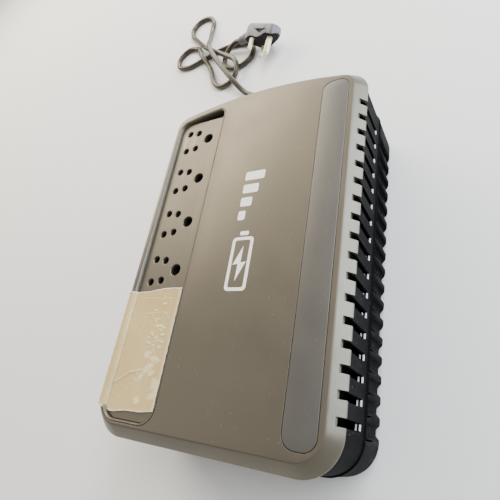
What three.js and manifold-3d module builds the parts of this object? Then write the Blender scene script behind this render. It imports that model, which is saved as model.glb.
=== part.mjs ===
// A slim line-interactive uninterruptible power supply lying flat.
// Millimetres. X is the width, Y the length with the cord end at +Y, Z up from the floor.
// The origin is at the middle of the footprint, on the floor.
import * as THREE from 'three';
import { mergeVertices } from 'three/addons/utils/BufferGeometryUtils.js';
import Module from 'manifold-3d';

const wasm = await Module();
wasm.setup();

// ---- driving dimensions -------------------------------------------------------------------

const WIDTH = 182;
const LENGTH = 288;
const HEIGHT = 90;
const GAP = 0.35;

// plan outline: straight sides and near end, bowed far end
const NEAR_CORNER = 25.5;
const FAR_CORNER = 19.5;
const BOW_RADIUS = 335;
const BOW_CENTRE_Y = LENGTH / 2 - BOW_RADIUS;

// top cover
const SKIRT_OUT = 7.5;
const SKIRT_BOTTOM = 80;
const SKIRT_TURN = 81.2;
const COVER_INNER_TOP = 87.4;
const COVER_WALL = 2.4;

// bottom shell, in two tiers that meet at a ridge
const FOOT_HEIGHT = 2.5;
const SHELL_TOP = SKIRT_BOTTOM - GAP;
const RIDGE_Z = 40;
const RIDGE_RISE = 0.8;
const UPPER_INSET = 1.6;
const LOWER_INSET = 0.9;
const FLOOR_TOP = 6;
const LOWER_WALL = 5;
const UPPER_WALL = 2.4;

// side vents: one row of slots on each long side, with a groove under each
const VENT_COUNT = 17;
const VENT_PITCH = 13.46;
const VENT_FAR_Y = 102;
const VENT_WIDTH = 4.7;
const VENT_TOP = 86.2;
const VENT_BOTTOM = 48;
const GROOVE_DEPTH = 1.9;

// outlet channel in the top cover
const CHANNEL_LEFT = -78.9;
const CHANNEL_RIGHT = -33.3;
const CHANNEL_NEAR = -132.8;
const CHANNEL_FAR_INSET = 14.4;
const CHANNEL_CHAMFER = 1.4;
const CHANNEL_CORNERS = { near: 11, farLeft: 9, farRight: 5.5 };
const COLLAR_WALL = 2;
const PLATE_TOP = 87;
const PLATE_BOTTOM = 84;
const PLATE_FAR = 120.8;
const PANEL_LINE = -46.3;

// outlets: two pairs of round holes and one large earth hole each
const OUTLET_COUNT = 4;
const OUTLET_PITCH = 41.5;
const OUTLET_FAR_Y = 100.1;
const OUTER_PAIR_X = -69;
const OUTER_PAIR_HALF = 9.525;
const INNER_PAIR_X = -59.1;
const INNER_PAIR_HALF = 8.3;
const EARTH_X = OUTER_PAIR_X + 22.2;
const PIN_HOLE = 2.8;
const EARTH_HOLE = 4.4;
const CONTACT_TOP = 71.6;
const CONTACT_HALF = 1.8;
const BAR_HALF = 2.4;
const BAR_THICKNESS = 1;

// long strip let into the top near the right edge
const STRIP_LEFT = 59.0;
const STRIP_RIGHT = 79.3;
const STRIP_NEAR = -130.9;
const STRIP_FAR = 124.3;
const STRIP_RADIUS = 8.5;
const STRIP_DEPTH = 1.35;

// control panel
const BUTTON_X = -57;
const BUTTON_Y = -104;
const BUTTON_RADIUS = 7;
const LAMP_Y = -80;
const LAMP_RADIUS = 2;
const PANEL_BOARD_TOP = 71.6;

// mains cord: where it leaves the rear wall, and the route of its centre line to the plug
const CORD_RADIUS = 3.25;
const CORD_SIDES = 10;
const CORD_STEPS = 80;
const CORD_EXIT = { x: -34, z: 24 };
const RELIEF = { tipY: 178.3, root: 6, tip: 4.4, neck: 6.4, flange: 9 };
const CORD_ROUTE = [
  [-34, 178.6, 24], [-34.6, 194, 22.6], [-43, 212, 14], [-60, 226, 6], [-84, 242, 4.6],
  [-107, 268, 12.8], [-149, 329, 19.4], [-161, 362, 10], [-168, 386, 4.2], [-171.5, 409.3, 3.4],
  [-181.5, 421.8, 3.3], [-198, 422.2, 3.3], [-208.4, 409.6, 3.3], [-205, 393.3, 3.3],
  [-195, 380.5, 3.8], [-161, 342, 10.6], [-133, 320, 11.2], [-107, 298, 11.6], [-102, 282.5, 9.4],
  [-110.1, 269.4, 4.8], [-126, 266.6, 3.3], [-138.5, 276.5, 3.3], [-152, 307, 4.8], [-170, 334, 10.6],
  [-185, 357.5, 4], [-203.5, 364, 3.6], [-217.5, 352, 3.3], [-214.5, 334.5, 3.3], [-196, 326.5, 3.3],
  [-166, 333, 3.3], [-138, 339.5, 3.3], [-109, 337, 3.3], [-89, 325, 3.3], [-89, 304, 3.3],
  [-108, 292.5, 3.3], [-127.1, 303.5, 3.3], [-131, 317.5, 3.5], [-124.5, 329, 7],
  [-112.5, 331.5, 11.7], [-102.4, 327.1, 14.3],
];

// three-pin plug: a local frame with the pins towards -Y, then turned and laid on the floor
const PLUG_CENTRE = [-61.1, 303.9, 19.7];
const PLUG_TURN = { pitch: 14.9, roll: 14.6, yaw: -18.6 };
const PLUG = { depth: 20, faceDepth: 3, shoulderDepth: 16, shoulderScale: 0.95, backScale: 0.86 };
const PLUG_BOOT = { y: 10.2, z: 4, end: -46, root: -24, endRadius: CORD_RADIUS + 1.15, rootRadius: 6.5 };
const PLUG_CORNERS = [
  { x: -17, z: 6, radius: 9 },
  { x: 14.5, z: -1.5, radius: 8.5 },
  { x: -11.1, z: -9.525, radius: 8 },
];
const PLUG_PINS = [
  { name: 'live', x: -11.1, z: 9.525, radius: 2.55, length: 15 },
  { name: 'neutral', x: -11.1, z: -9.525, radius: 2.55, length: 15 },
  { name: 'earth', x: 11.1, z: 0, radius: 3.5, length: 20.6 },
];

// ---- helpers ------------------------------------------------------------------------------

const model = new THREE.Group();

function toSolid(geometry) {
  const bare = geometry.index ? geometry.toNonIndexed() : geometry.clone();
  for (const name of Object.keys(bare.attributes)) {
    if (name !== 'position') bare.deleteAttribute(name);
  }
  const welded = mergeVertices(bare, 1e-4);
  return new wasm.Manifold(new wasm.Mesh({
    numProp: 3,
    vertProperties: new Float32Array(welded.attributes.position.array),
    triVerts: new Uint32Array(welded.index.array),
  }));
}

function toGeometry(solid) {
  const mesh = solid.getMesh();
  const geometry = new THREE.BufferGeometry();
  geometry.setAttribute('position', new THREE.BufferAttribute(new Float32Array(mesh.vertProperties), 3));
  geometry.setIndex(new THREE.BufferAttribute(new Uint32Array(mesh.triVerts), 1));
  geometry.computeVertexNormals();
  return geometry;
}

function cut(body, ...tools) {
  return tools.reduce((rest, tool) => rest.subtract(tool), body);
}

function join(first, ...others) {
  return others.reduce((whole, other) => whole.add(other), first);
}

function block(x0, x1, y0, y1, z0, z1) {
  const geometry = new THREE.BoxGeometry(x1 - x0, y1 - y0, z1 - z0);
  geometry.translate((x0 + x1) / 2, (y0 + y1) / 2, (z0 + z1) / 2);
  return toSolid(geometry);
}

function rodZ(radius, z0, z1, x, y, sides = 16, topRadius = radius) {
  const geometry = new THREE.CylinderGeometry(topRadius, radius, z1 - z0, sides);
  geometry.rotateX(Math.PI / 2);
  geometry.translate(x, y, (z0 + z1) / 2);
  return toSolid(geometry);
}

function rodY(radius, y0, y1, x, z, sides = 16, farRadius = radius) {
  const geometry = new THREE.CylinderGeometry(farRadius, radius, y1 - y0, sides);
  geometry.translate(x, (y0 + y1) / 2, z);
  return toSolid(geometry);
}

// A closed skin through rings of equal point count, each a list of Vector2 at its own height.
function loft(rings) {
  const count = rings[0].outline.length;
  const positions = rings.flatMap(({ z, outline }) => outline.flatMap((p) => [p.x, p.y, z]));
  const triangles = [];
  for (let level = 0; level < rings.length - 1; level += 1) {
    for (let i = 0; i < count; i += 1) {
      const a = level * count + i;
      const b = level * count + ((i + 1) % count);
      triangles.push(a, b, b + count, a, b + count, a + count);
    }
  }
  const top = (rings.length - 1) * count;
  for (const [a, b, c] of THREE.ShapeUtils.triangulateShape(rings[0].outline, [])) {
    triangles.push(c, b, a);
  }
  for (const [a, b, c] of THREE.ShapeUtils.triangulateShape(rings.at(-1).outline, [])) {
    triangles.push(top + a, top + b, top + c);
  }
  const geometry = new THREE.BufferGeometry();
  geometry.setAttribute('position', new THREE.Float32BufferAttribute(positions, 3));
  geometry.setIndex(triangles);
  return toSolid(geometry);
}

function prism(outline, z0, z1) {
  return loft([{ z: z0, outline }, { z: z1, outline }]);
}

function arc(x, y, radius, from, to, steps) {
  return Array.from({ length: steps + 1 }, (_, i) => {
    const angle = from + ((to - from) * i) / steps;
    return new THREE.Vector2(x + radius * Math.cos(angle), y + radius * Math.sin(angle));
  });
}

// Anticlockwise outline with a straight near end and a far end bowed about the body's bow centre.
function bowedOutline({ left, right, near, bow, nearRadius, farLeft, farRight, corner = 6, bowSteps = 12 }) {
  const far = (radius, x) => BOW_CENTRE_Y + Math.sqrt((bow - radius) ** 2 - x ** 2);
  const rightX = right - farRight;
  const leftX = left + farLeft;
  const rightY = far(farRight, rightX);
  const leftY = far(farLeft, leftX);
  const rightAngle = Math.atan2(rightY - BOW_CENTRE_Y, rightX);
  const leftAngle = Math.atan2(leftY - BOW_CENTRE_Y, leftX);
  const nearY = near + nearRadius;
  return [
    ...arc(right - nearRadius, nearY, nearRadius, -Math.PI / 2, 0, corner),
    ...arc(rightX, rightY, farRight, 0, rightAngle, corner),
    ...arc(0, BOW_CENTRE_Y, bow, rightAngle, leftAngle, bowSteps).slice(1, -1),
    ...arc(leftX, leftY, farLeft, leftAngle, Math.PI, corner),
    ...arc(left + nearRadius, nearY, nearRadius, Math.PI, 1.5 * Math.PI, corner),
  ];
}

function bodyOutline(inset) {
  return bowedOutline({
    left: -WIDTH / 2 + inset,
    right: WIDTH / 2 - inset,
    near: -LENGTH / 2 + inset,
    bow: BOW_RADIUS - inset,
    nearRadius: NEAR_CORNER - inset,
    farLeft: FAR_CORNER - inset,
    farRight: FAR_CORNER - inset,
  });
}

function channelOutline(inset) {
  return bowedOutline({
    left: CHANNEL_LEFT + inset,
    right: CHANNEL_RIGHT - inset,
    near: CHANNEL_NEAR + inset,
    bow: BOW_RADIUS - CHANNEL_FAR_INSET - inset,
    nearRadius: CHANNEL_CORNERS.near - inset,
    farLeft: CHANNEL_CORNERS.farLeft - inset,
    farRight: CHANNEL_CORNERS.farRight - inset,
    corner: 4,
    bowSteps: 4,
  });
}

function roundedOutline(x0, x1, y0, y1, radius, steps = 5) {
  return [
    ...arc(x1 - radius, y0 + radius, radius, -Math.PI / 2, 0, steps),
    ...arc(x1 - radius, y1 - radius, radius, 0, Math.PI / 2, steps),
    ...arc(x0 + radius, y1 - radius, radius, Math.PI / 2, Math.PI, steps),
    ...arc(x0 + radius, y0 + radius, radius, Math.PI, 1.5 * Math.PI, steps),
  ];
}

function finish(colour, roughness, metalness = 0) {
  return { color: new THREE.Color(colour), roughness, metalness };
}

const COVER_PLASTIC = finish('#7d776a', 0.45);
const SHELL_PLASTIC = finish('#1d1e20', 0.5);
const DARK_PLASTIC = finish('#26272a', 0.6);
const PALE_PLASTIC = finish('#cfcabb', 0.5);
const FILM = finish('#c3b391', 0.25);
const RUBBER = finish('#17181a', 0.85);
const STEEL = finish('#8d9094', 0.4, 1);
const BRASS = finish('#cdb779', 0.3, 1);
const ALUMINIUM = finish('#b9bcc0', 0.4, 1);
const COPPER_WINDING = finish('#b5743a', 0.4, 0.6);
const BOARD = finish('#2f6b3c', 0.5);
const CORD_PLASTIC = finish('#3a3733', 0.4);
const PLUG_PLASTIC = finish('#8f8f92', 0.4);

function addPart(name, solid, look) {
  const geometry = solid.isBufferGeometry ? solid : toGeometry(solid);
  const mesh = new THREE.Mesh(geometry, new THREE.MeshStandardMaterial(look));
  mesh.name = name;
  model.add(mesh);
}

function repeat(count, make) {
  return Array.from({ length: count }, (_, i) => make(i));
}

const OUTLET_ROWS = repeat(OUTLET_COUNT, (i) => OUTLET_FAR_Y - i * OUTLET_PITCH);
const VENT_ROWS = repeat(VENT_COUNT, (i) => VENT_FAR_Y - i * VENT_PITCH);
const SCREW_PLACES = [
  { x: -31, y: -131 },
  { x: 80, y: -118 },
  { x: -26, y: 124 },
  { x: 75, y: 113 },
];
const BOSS_SPLIT = 62;
const BOSS = { upperRadius: 4.2, lowerRadius: 5, pilot: 2.3, well: 3.8, wellDepth: 4 };
const SCREW = { head: 3.4, shank: 1.8, headHeight: 2.5, reach: 14 };
// ribs under the cover that hold the battery down through its pad
const RIB_ROWS = [-90, -20];
const FOOT = { halfWidth: 3.4, halfLength: 18, x: 81.8, nearY: -84, farY: 84 };
const FEET = [
  { name: 'near_left', x: -FOOT.x, y: FOOT.nearY },
  { name: 'near_right', x: FOOT.x, y: FOOT.nearY },
  { name: 'far_left', x: -FOOT.x, y: FOOT.farY },
  { name: 'far_right', x: FOOT.x, y: FOOT.farY },
];

// ---- top cover ----------------------------------------------------------------------------

function sideCuts(rows, inner, z0, z1, width) {
  return rows.flatMap((y) => [-1, 1].map((side) => {
    const [x0, x1] = side < 0 ? [-WIDTH, -inner] : [inner, WIDTH];
    return block(x0, x1, y - width / 2, y + width / 2, z0, z1);
  }));
}

function makeTopCover() {
  const outer = loft([
    { z: SKIRT_BOTTOM, outline: bodyOutline(0) },
    { z: SKIRT_TURN, outline: bodyOutline(0) },
    { z: HEIGHT - 0.4, outline: bodyOutline(SKIRT_OUT - 0.3) },
    { z: HEIGHT, outline: bodyOutline(SKIRT_OUT + 0.3) },
  ]);
  const inner = loft([
    { z: SKIRT_BOTTOM - 1, outline: bodyOutline(COVER_WALL) },
    { z: SKIRT_BOTTOM + 0.6, outline: bodyOutline(COVER_WALL) },
    { z: COVER_INNER_TOP, outline: bodyOutline(SKIRT_OUT + 0.9) },
  ]);
  const collar = prism(channelOutline(-COLLAR_WALL), PLATE_BOTTOM, COVER_INNER_TOP + 0.5);
  const channel = loft([
    { z: PLATE_BOTTOM - 1, outline: channelOutline(0) },
    { z: HEIGHT - CHANNEL_CHAMFER, outline: channelOutline(0) },
    { z: HEIGHT + 0.1, outline: channelOutline(-CHANNEL_CHAMFER) },
  ]);
  const stripSeat = prism(
    roundedOutline(STRIP_LEFT - GAP, STRIP_RIGHT + GAP, STRIP_NEAR - GAP, STRIP_FAR + GAP, STRIP_RADIUS),
    HEIGHT - STRIP_DEPTH,
    HEIGHT + 1,
  );
  const bosses = SCREW_PLACES.map(({ x, y }) => (
    rodZ(BOSS.upperRadius, BOSS_SPLIT, COVER_INNER_TOP + 0.5, x, y, 12)));
  const pilots = SCREW_PLACES.map(({ x, y }) => (
    rodZ(BOSS.pilot, BOSS_SPLIT - 1, COVER_INNER_TOP - 4, x, y, 10)));
  const ribs = RIB_ROWS.map((y) => block(BATTERY.left + 8, BATTERY.right - 8, y - 1, y + 1,
    BATTERY.top + PAD_THICKNESS + 2 * GAP, COVER_INNER_TOP + 0.5));
  const slots = sideCuts(VENT_ROWS, WIDTH / 2 - 4.3, SKIRT_BOTTOM - 1, VENT_TOP, VENT_WIDTH);
  const shell = join(cut(outer, inner), collar, ...bosses, ...ribs);
  return cut(shell, channel, stripSeat, ...pilots, ...slots);
}

function makeStrip() {
  const outline = (inset) => roundedOutline(
    STRIP_LEFT + inset,
    STRIP_RIGHT - inset,
    STRIP_NEAR + inset,
    STRIP_FAR - inset,
    STRIP_RADIUS - GAP - inset,
  );
  return loft([
    { z: HEIGHT - STRIP_DEPTH + GAP, outline: outline(0) },
    { z: HEIGHT - 0.15, outline: outline(0) },
    { z: HEIGHT, outline: outline(0.15) },
  ]);
}

// ---- outlet channel -----------------------------------------------------------------------

function outletHoles(z0, z1) {
  return OUTLET_ROWS.flatMap((y) => [
    rodZ(PIN_HOLE, z0, z1, OUTER_PAIR_X, y + OUTER_PAIR_HALF, 10),
    rodZ(PIN_HOLE, z0, z1, OUTER_PAIR_X, y - OUTER_PAIR_HALF, 10),
    rodZ(PIN_HOLE, z0, z1, INNER_PAIR_X, y + INNER_PAIR_HALF, 10),
    rodZ(PIN_HOLE, z0, z1, INNER_PAIR_X, y - INNER_PAIR_HALF, 10),
    rodZ(EARTH_HOLE, z0, z1, EARTH_X, y, 14),
  ]);
}

function makeOutletPlate() {
  const plate = prism(
    roundedOutline(CHANNEL_LEFT + GAP, CHANNEL_RIGHT - GAP, PANEL_LINE + GAP / 2, PLATE_FAR, 1.5, 3),
    PLATE_BOTTOM,
    PLATE_TOP,
  );
  const within = prism(channelOutline(GAP), PLATE_BOTTOM - 1, PLATE_TOP + 1);
  return cut(plate.intersect(within), ...outletHoles(PLATE_BOTTOM - 1, PLATE_TOP + 1));
}

function makeControlPanel() {
  const reach = block(CHANNEL_LEFT - 5, CHANNEL_RIGHT + 5, CHANNEL_NEAR - 5, PANEL_LINE - GAP / 2,
    PLATE_BOTTOM, PLATE_TOP);
  const plate = prism(channelOutline(GAP), PLATE_BOTTOM, PLATE_TOP).intersect(reach);
  return cut(
    plate,
    rodZ(BUTTON_RADIUS + GAP, PLATE_BOTTOM - 1, PLATE_TOP + 1, BUTTON_X, BUTTON_Y, 24),
    rodZ(LAMP_RADIUS + GAP, PLATE_BOTTOM - 1, PLATE_TOP + 1, BUTTON_X, LAMP_Y, 12),
  );
}

// A cap in the panel, a collar that stops it below the panel, and a stem down to its switch.
function makePowerButton() {
  const collarBottom = PLATE_BOTTOM - 1.6;
  return join(
    rodZ(BUTTON_RADIUS, collarBottom + 0.1, PLATE_TOP - 0.4, BUTTON_X, BUTTON_Y, 24),
    rodZ(BUTTON_RADIUS + 1.6, collarBottom, PLATE_BOTTOM - GAP, BUTTON_X, BUTTON_Y, 24),
    rodZ(2, PLATE_BOTTOM - 8, collarBottom + 0.2, BUTTON_X, BUTTON_Y, 12),
  );
}

function makeLightPipe() {
  return join(
    rodZ(LAMP_RADIUS, PLATE_BOTTOM - 1, PLATE_TOP, BUTTON_X, LAMP_Y, 12),
    rodZ(LAMP_RADIUS + 1, PLATE_BOTTOM - 4, PLATE_BOTTOM - GAP, BUTTON_X, LAMP_Y, 12),
  );
}

const FILM_EDGE = {
  near: -128.6, bend: -117, far: -38.6, left: -87.2, right: -35,
  rimLeft: -83.6, rimRight: -80, drop: 3.4, thickness: 0.25,
};

// A thin film stuck over the control panel, up the channel's left wall and over the rim.
function makeFilm() {
  const { near, bend, far, left, right, rimLeft, rimRight, drop, thickness } = FILM_EDGE;
  const flat = PLATE_TOP + GAP;
  const line = [
    [left, HEIGHT - drop],
    [rimLeft, HEIGHT + GAP],
    [rimRight, HEIGHT + GAP],
    [CHANNEL_LEFT + 0.4, HEIGHT - CHANNEL_CHAMFER + 0.2],
    [CHANNEL_LEFT + 0.7, flat],
    [right, flat],
  ];
  const section = new THREE.Shape([
    ...line.map(([x, z]) => new THREE.Vector2(x, z)),
    ...line.toReversed().map(([x, z]) => new THREE.Vector2(x, z + thickness)),
  ]);
  const geometry = new THREE.ExtrudeGeometry(section, { depth: far - bend, bevelEnabled: false });
  geometry.rotateX(Math.PI / 2);
  geometry.translate(0, far, 0);
  const nearEnd = prism(channelOutline(0.8), flat, flat + thickness)
    .intersect(block(CHANNEL_LEFT, right, near, bend + 1, flat - 1, flat + 1));
  return join(toSolid(geometry), nearEnd);
}

const HOUSING_BOTTOM = 62;
const HOUSING_WALL = 1.6;

// Open tray under the channel that holds the contacts and closes the far end of the channel.
function makeOutletHousing() {
  const top = PLATE_BOTTOM - GAP;
  const near = PANEL_LINE - 2;
  const reach = block(-WIDTH, 0, near, LENGTH, HOUSING_BOTTOM, top);
  const hollow = block(-WIDTH, 0, near + HOUSING_WALL, LENGTH, HOUSING_BOTTOM + HOUSING_WALL, top + 1);
  const outer = prism(channelOutline(0), HOUSING_BOTTOM, top).intersect(reach);
  const inner = prism(channelOutline(HOUSING_WALL), HOUSING_BOTTOM + HOUSING_WALL, top + 1);
  return cut(outer, inner.intersect(hollow));
}

// One black contact block under each outlet, with the pin holes running down into it.
function makeContactBlock(y) {
  const bottom = CONTACT_TOP + 0.4;
  const body = block(OUTER_PAIR_X - 6, EARTH_X + 8, y - 15, y + 15, bottom, PLATE_BOTTOM - GAP);
  return cut(body, ...outletHoles(bottom - 1, PLATE_TOP));
}

const BAR_Z = HOUSING_BOTTOM + HOUSING_WALL + 0.4;
const NEUTRAL_BAR = { x: OUTER_PAIR_X + 7, z: BAR_Z + 3 };

function makeContact(x, y, z) {
  return block(x - CONTACT_HALF, x + CONTACT_HALF, y - CONTACT_HALF, y + CONTACT_HALF, z + 0.5, CONTACT_TOP);
}

// A bar along the channel, a little longer than its row of contacts.
function makeBar(x, rows, z) {
  return block(x - BAR_HALF, x + BAR_HALF, rows.at(-1) - 4, rows[0] + 4, z, z + BAR_THICKNESS);
}

// A bus bar with one upright contact under each of its holes.
function makeBusBar(x, offset) {
  const rows = OUTLET_ROWS.map((y) => y + offset);
  return join(makeBar(x, rows, BAR_Z), ...rows.map((y) => makeContact(x, y, BAR_Z)));
}

// The neutral bar runs beside the live bar and above it, with an arm out to each contact.
function makeNeutralBar() {
  const { x, z } = NEUTRAL_BAR;
  const rows = OUTLET_ROWS.map((y) => y - OUTER_PAIR_HALF);
  const arms = rows.map((y) => (
    block(OUTER_PAIR_X - CONTACT_HALF, x, y - CONTACT_HALF, y + CONTACT_HALF, z, z + BAR_THICKNESS)));
  return join(makeBar(x, rows, z), ...arms, ...rows.map((y) => makeContact(OUTER_PAIR_X, y, z)));
}

// ---- bottom shell -------------------------------------------------------------------------

const DOOR = { left: -25, right: 73, far: 28, tongue: 2.6, tongueNear: 12, lip: 2.4, lipTop: 20 };
const DOOR_PULL = { left: 8, right: 40, bottom: 9, top: 15, depth: 0.9 };
const DOOR_BOTTOM = FOOT_HEIGHT + 0.2;
const DOOR_TOP = 5;
const TONGUE_BOTTOM = 4;
const BREAKER = {
  x: 10, z: 24, radius: 6.2, seatRadius: 11.5, boxHalf: 8, boxHeight: 24, boxDepth: 22, button: 3.6,
};
const BATTERY = {
  left: -23, right: 71, near: -128, far: 23, lid: 9, bottom: DOOR_TOP + GAP, top: DOOR_TOP + GAP + 65,
};
const PAD_THICKNESS = 3;
const LOWER_FACE_Y = -LENGTH / 2 + LOWER_INSET;

function rearY(x, inset) {
  return BOW_CENTRE_Y + Math.sqrt((BOW_RADIUS - inset) ** 2 - x ** 2);
}

const BREAKER_SEAT_Y = rearY(BREAKER.x, LOWER_INSET) - 2.6;
const BREAKER_FRONT_Y = rearY(BREAKER.x + BREAKER.boxHalf, LOWER_INSET + LOWER_WALL) - GAP;
const RELIEF_SEAT_Y = rearY(Math.abs(CORD_EXIT.x) + RELIEF.flange, LOWER_INSET) - 0.3;
const RELIEF_BACK_Y = rearY(Math.abs(CORD_EXIT.x) + RELIEF.flange, LOWER_INSET + LOWER_WALL) - GAP;

function footOutline({ x, y }, grow) {
  const w = FOOT.halfWidth + grow;
  const l = FOOT.halfLength + grow;
  return roundedOutline(x - w, x + w, y - l, y + l, w - 0.01, 4);
}

// Outer skin of the shell, with a rounded lower edge.
function shellOuter() {
  return loft([
    { z: FOOT_HEIGHT, outline: bodyOutline(LOWER_INSET + 4) },
    { z: FOOT_HEIGHT + 1.4, outline: bodyOutline(LOWER_INSET + 1.4) },
    { z: FOOT_HEIGHT + 5, outline: bodyOutline(LOWER_INSET) },
    { z: RIDGE_Z, outline: bodyOutline(LOWER_INSET) },
    { z: RIDGE_Z + RIDGE_RISE, outline: bodyOutline(UPPER_INSET) },
    { z: SHELL_TOP, outline: bodyOutline(UPPER_INSET) },
  ]);
}

function makeBottomShell() {
  const inner = loft([
    { z: FLOOR_TOP, outline: bodyOutline(LOWER_INSET + LOWER_WALL) },
    { z: RIDGE_Z - 1, outline: bodyOutline(LOWER_INSET + LOWER_WALL - 0.6) },
    { z: RIDGE_Z + 2, outline: bodyOutline(UPPER_INSET + UPPER_WALL) },
    { z: SHELL_TOP + 1, outline: bodyOutline(UPPER_INSET + UPPER_WALL) },
  ]);
  const vents = sideCuts(VENT_ROWS, WIDTH / 2 - 6, VENT_BOTTOM, SHELL_TOP + 1, VENT_WIDTH);
  const grooves = sideCuts(VENT_ROWS, WIDTH / 2 - LOWER_INSET - GROOVE_DEPTH, FOOT_HEIGHT - 1,
    RIDGE_Z - 3, VENT_WIDTH);
  const bosses = SCREW_PLACES.map(({ x, y }) => (
    rodZ(BOSS.lowerRadius, FLOOR_TOP - 1, BOSS_SPLIT - GAP, x, y, 12)));
  const screwHoles = SCREW_PLACES.flatMap(({ x, y }) => [
    rodZ(BOSS.well, FOOT_HEIGHT - 1, FLOOR_TOP + BOSS.wellDepth, x, y, 12),
    rodZ(BOSS.pilot, FLOOR_TOP, BOSS_SPLIT, x, y, 10),
  ]);
  const footSeats = FEET.map((foot) => prism(footOutline(foot, GAP), FOOT_HEIGHT - 1, FOOT_HEIGHT + 1));
  const doorway = block(DOOR.left, DOOR.right, -LENGTH, DOOR.far, FOOT_HEIGHT - 1, FLOOR_TOP + 1);
  const lipGap = block(DOOR.left, DOOR.right, -LENGTH, LOWER_FACE_Y + 8, FOOT_HEIGHT - 1, DOOR.lipTop);
  const rails = block(DOOR.left - DOOR.tongue - GAP, DOOR.right + DOOR.tongue + GAP, -LENGTH,
    DOOR.far, TONGUE_BOTTOM - GAP, DOOR_TOP + GAP);
  const cordHole = rodY(RELIEF.neck + GAP, LENGTH / 2 - 12, LENGTH, CORD_EXIT.x, CORD_EXIT.z, 20);
  const breakerHole = rodY(BREAKER.radius, LENGTH / 2 - 20, LENGTH, BREAKER.x, BREAKER.z, 20);
  const breakerSeat = rodY(BREAKER.seatRadius, BREAKER_SEAT_Y, LENGTH, BREAKER.x, BREAKER.z, 24);
  const cordSeat = rodY(RELIEF.flange + 1, RELIEF_SEAT_Y, LENGTH, CORD_EXIT.x, CORD_EXIT.z, 24);
  const shell = join(cut(shellOuter(), inner), ...bosses);
  return cut(shell, ...vents, ...grooves, ...screwHoles, ...footSeats, doorway, lipGap, rails,
    cordHole, cordSeat, breakerHole, breakerSeat);
}

// Slides off along the underside towards the near end, on a tongue down each side.
function makeBatteryDoor() {
  const left = DOOR.left + GAP;
  const right = DOOR.right - GAP;
  const far = DOOR.far - GAP;
  const face = LOWER_FACE_Y;
  const plate = block(left, right, face, far, DOOR_BOTTOM, DOOR_TOP);
  const tongues = block(left - DOOR.tongue, right + DOOR.tongue, face + DOOR.tongueNear, far,
    TONGUE_BOTTOM, DOOR_TOP);
  const lip = block(left, right, face, face + DOOR.lip, DOOR_BOTTOM, DOOR.lipTop - GAP);
  const pull = block(DOOR_PULL.left, DOOR_PULL.right, face - 1, face + DOOR_PULL.depth,
    DOOR_PULL.bottom, DOOR_PULL.top);
  return cut(join(plate, tongues, lip), pull).intersect(shellOuter());
}

function makeFoot(foot) {
  return prism(footOutline(foot, 0), 0, FOOT_HEIGHT + 1 - GAP);
}

function makeCaseScrew({ x, y }) {
  const headBottom = FOOT_HEIGHT + 1.5;
  const headTop = headBottom + SCREW.headHeight;
  return join(
    rodZ(SCREW.head, headBottom, headTop, x, y, 12),
    rodZ(SCREW.shank, headTop - 0.2, BOSS_SPLIT + SCREW.reach, x, y, 10),
  );
}

// ---- battery ------------------------------------------------------------------------------

function makeBattery() {
  const { left, right, near, far, lid, bottom, top } = BATTERY;
  const step = 0.6;
  return join(
    block(left, left + lid, near + step, far - step, bottom + step, top - step),
    block(left + lid, right, near, far, bottom, top),
  );
}

const TERMINALS = [
  { name: 'positive', y: BATTERY.near + 18 },
  { name: 'negative', y: BATTERY.far - 18 },
];
const TERMINAL = { z: BATTERY.bottom + 14, length: 6.5, half: 3.2, thickness: 0.8 };

function makeTerminal({ y }) {
  const { z, length, half, thickness } = TERMINAL;
  return block(BATTERY.left - length, BATTERY.left - GAP, y - half, y + half, z, z + thickness);
}

// Insulated lead from a battery terminal over to the main board.
function makeBatteryLead({ y }) {
  const start = BATTERY.left - TERMINAL.length - GAP;
  const z = TERMINAL.z + TERMINAL.thickness / 2;
  return tube([
    [start, y, z],
    [start - 3, y, z + 0.8],
    [start - 7.5, y, z - 0.6],
    [start - 10, y, BOARD_AREA.top + 3.4],
    [start - 10.2, y, BOARD_AREA.top + GAP],
  ], 1.3, 16, 8);
}

function makePad() {
  return block(BATTERY.left + 12, BATTERY.right - 12, BATTERY.near + 10, BATTERY.far - 10,
    BATTERY.top + GAP, BATTERY.top + GAP + PAD_THICKNESS);
}

// ---- transformer --------------------------------------------------------------------------

const TRANSFORMER = {
  left: -6, right: 66, near: 46, far: 106, bottom: FLOOR_TOP + GAP, height: 60,
  limb: 12, lift: 2, overhang: 12,
};
const STRAP = { thick: 1.4, foot: 12, inset: 14, hole: 2.3 };

function makeCore() {
  const { left, right, near, far, bottom, height, limb, lift, overhang } = TRANSFORMER;
  const frame = block(left, right, near + overhang, far - overhang, bottom + lift, bottom + height);
  const window = (x0, x1) => block(x0, x1, near, far, bottom + lift + limb, bottom + height - limb);
  const middle = (left + right) / 2;
  return cut(frame, window(left + limb, middle - limb), window(middle + limb, right - limb));
}

function makeWinding() {
  const { left, right, near, far, bottom, height, limb, lift, overhang } = TRANSFORMER;
  const middle = (left + right) / 2;
  const z0 = bottom + lift + limb + GAP;
  const z1 = bottom + height - limb - GAP;
  const coil = block(left + limb + GAP, right - limb - GAP, near + 1, far - 1, z0, z1);
  const limbHole = block(middle - limb - GAP, middle + limb + GAP,
    near + overhang - GAP, far - overhang + GAP, z0 - 1, z1 + 1);
  return cut(coil, limbHole);
}

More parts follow.
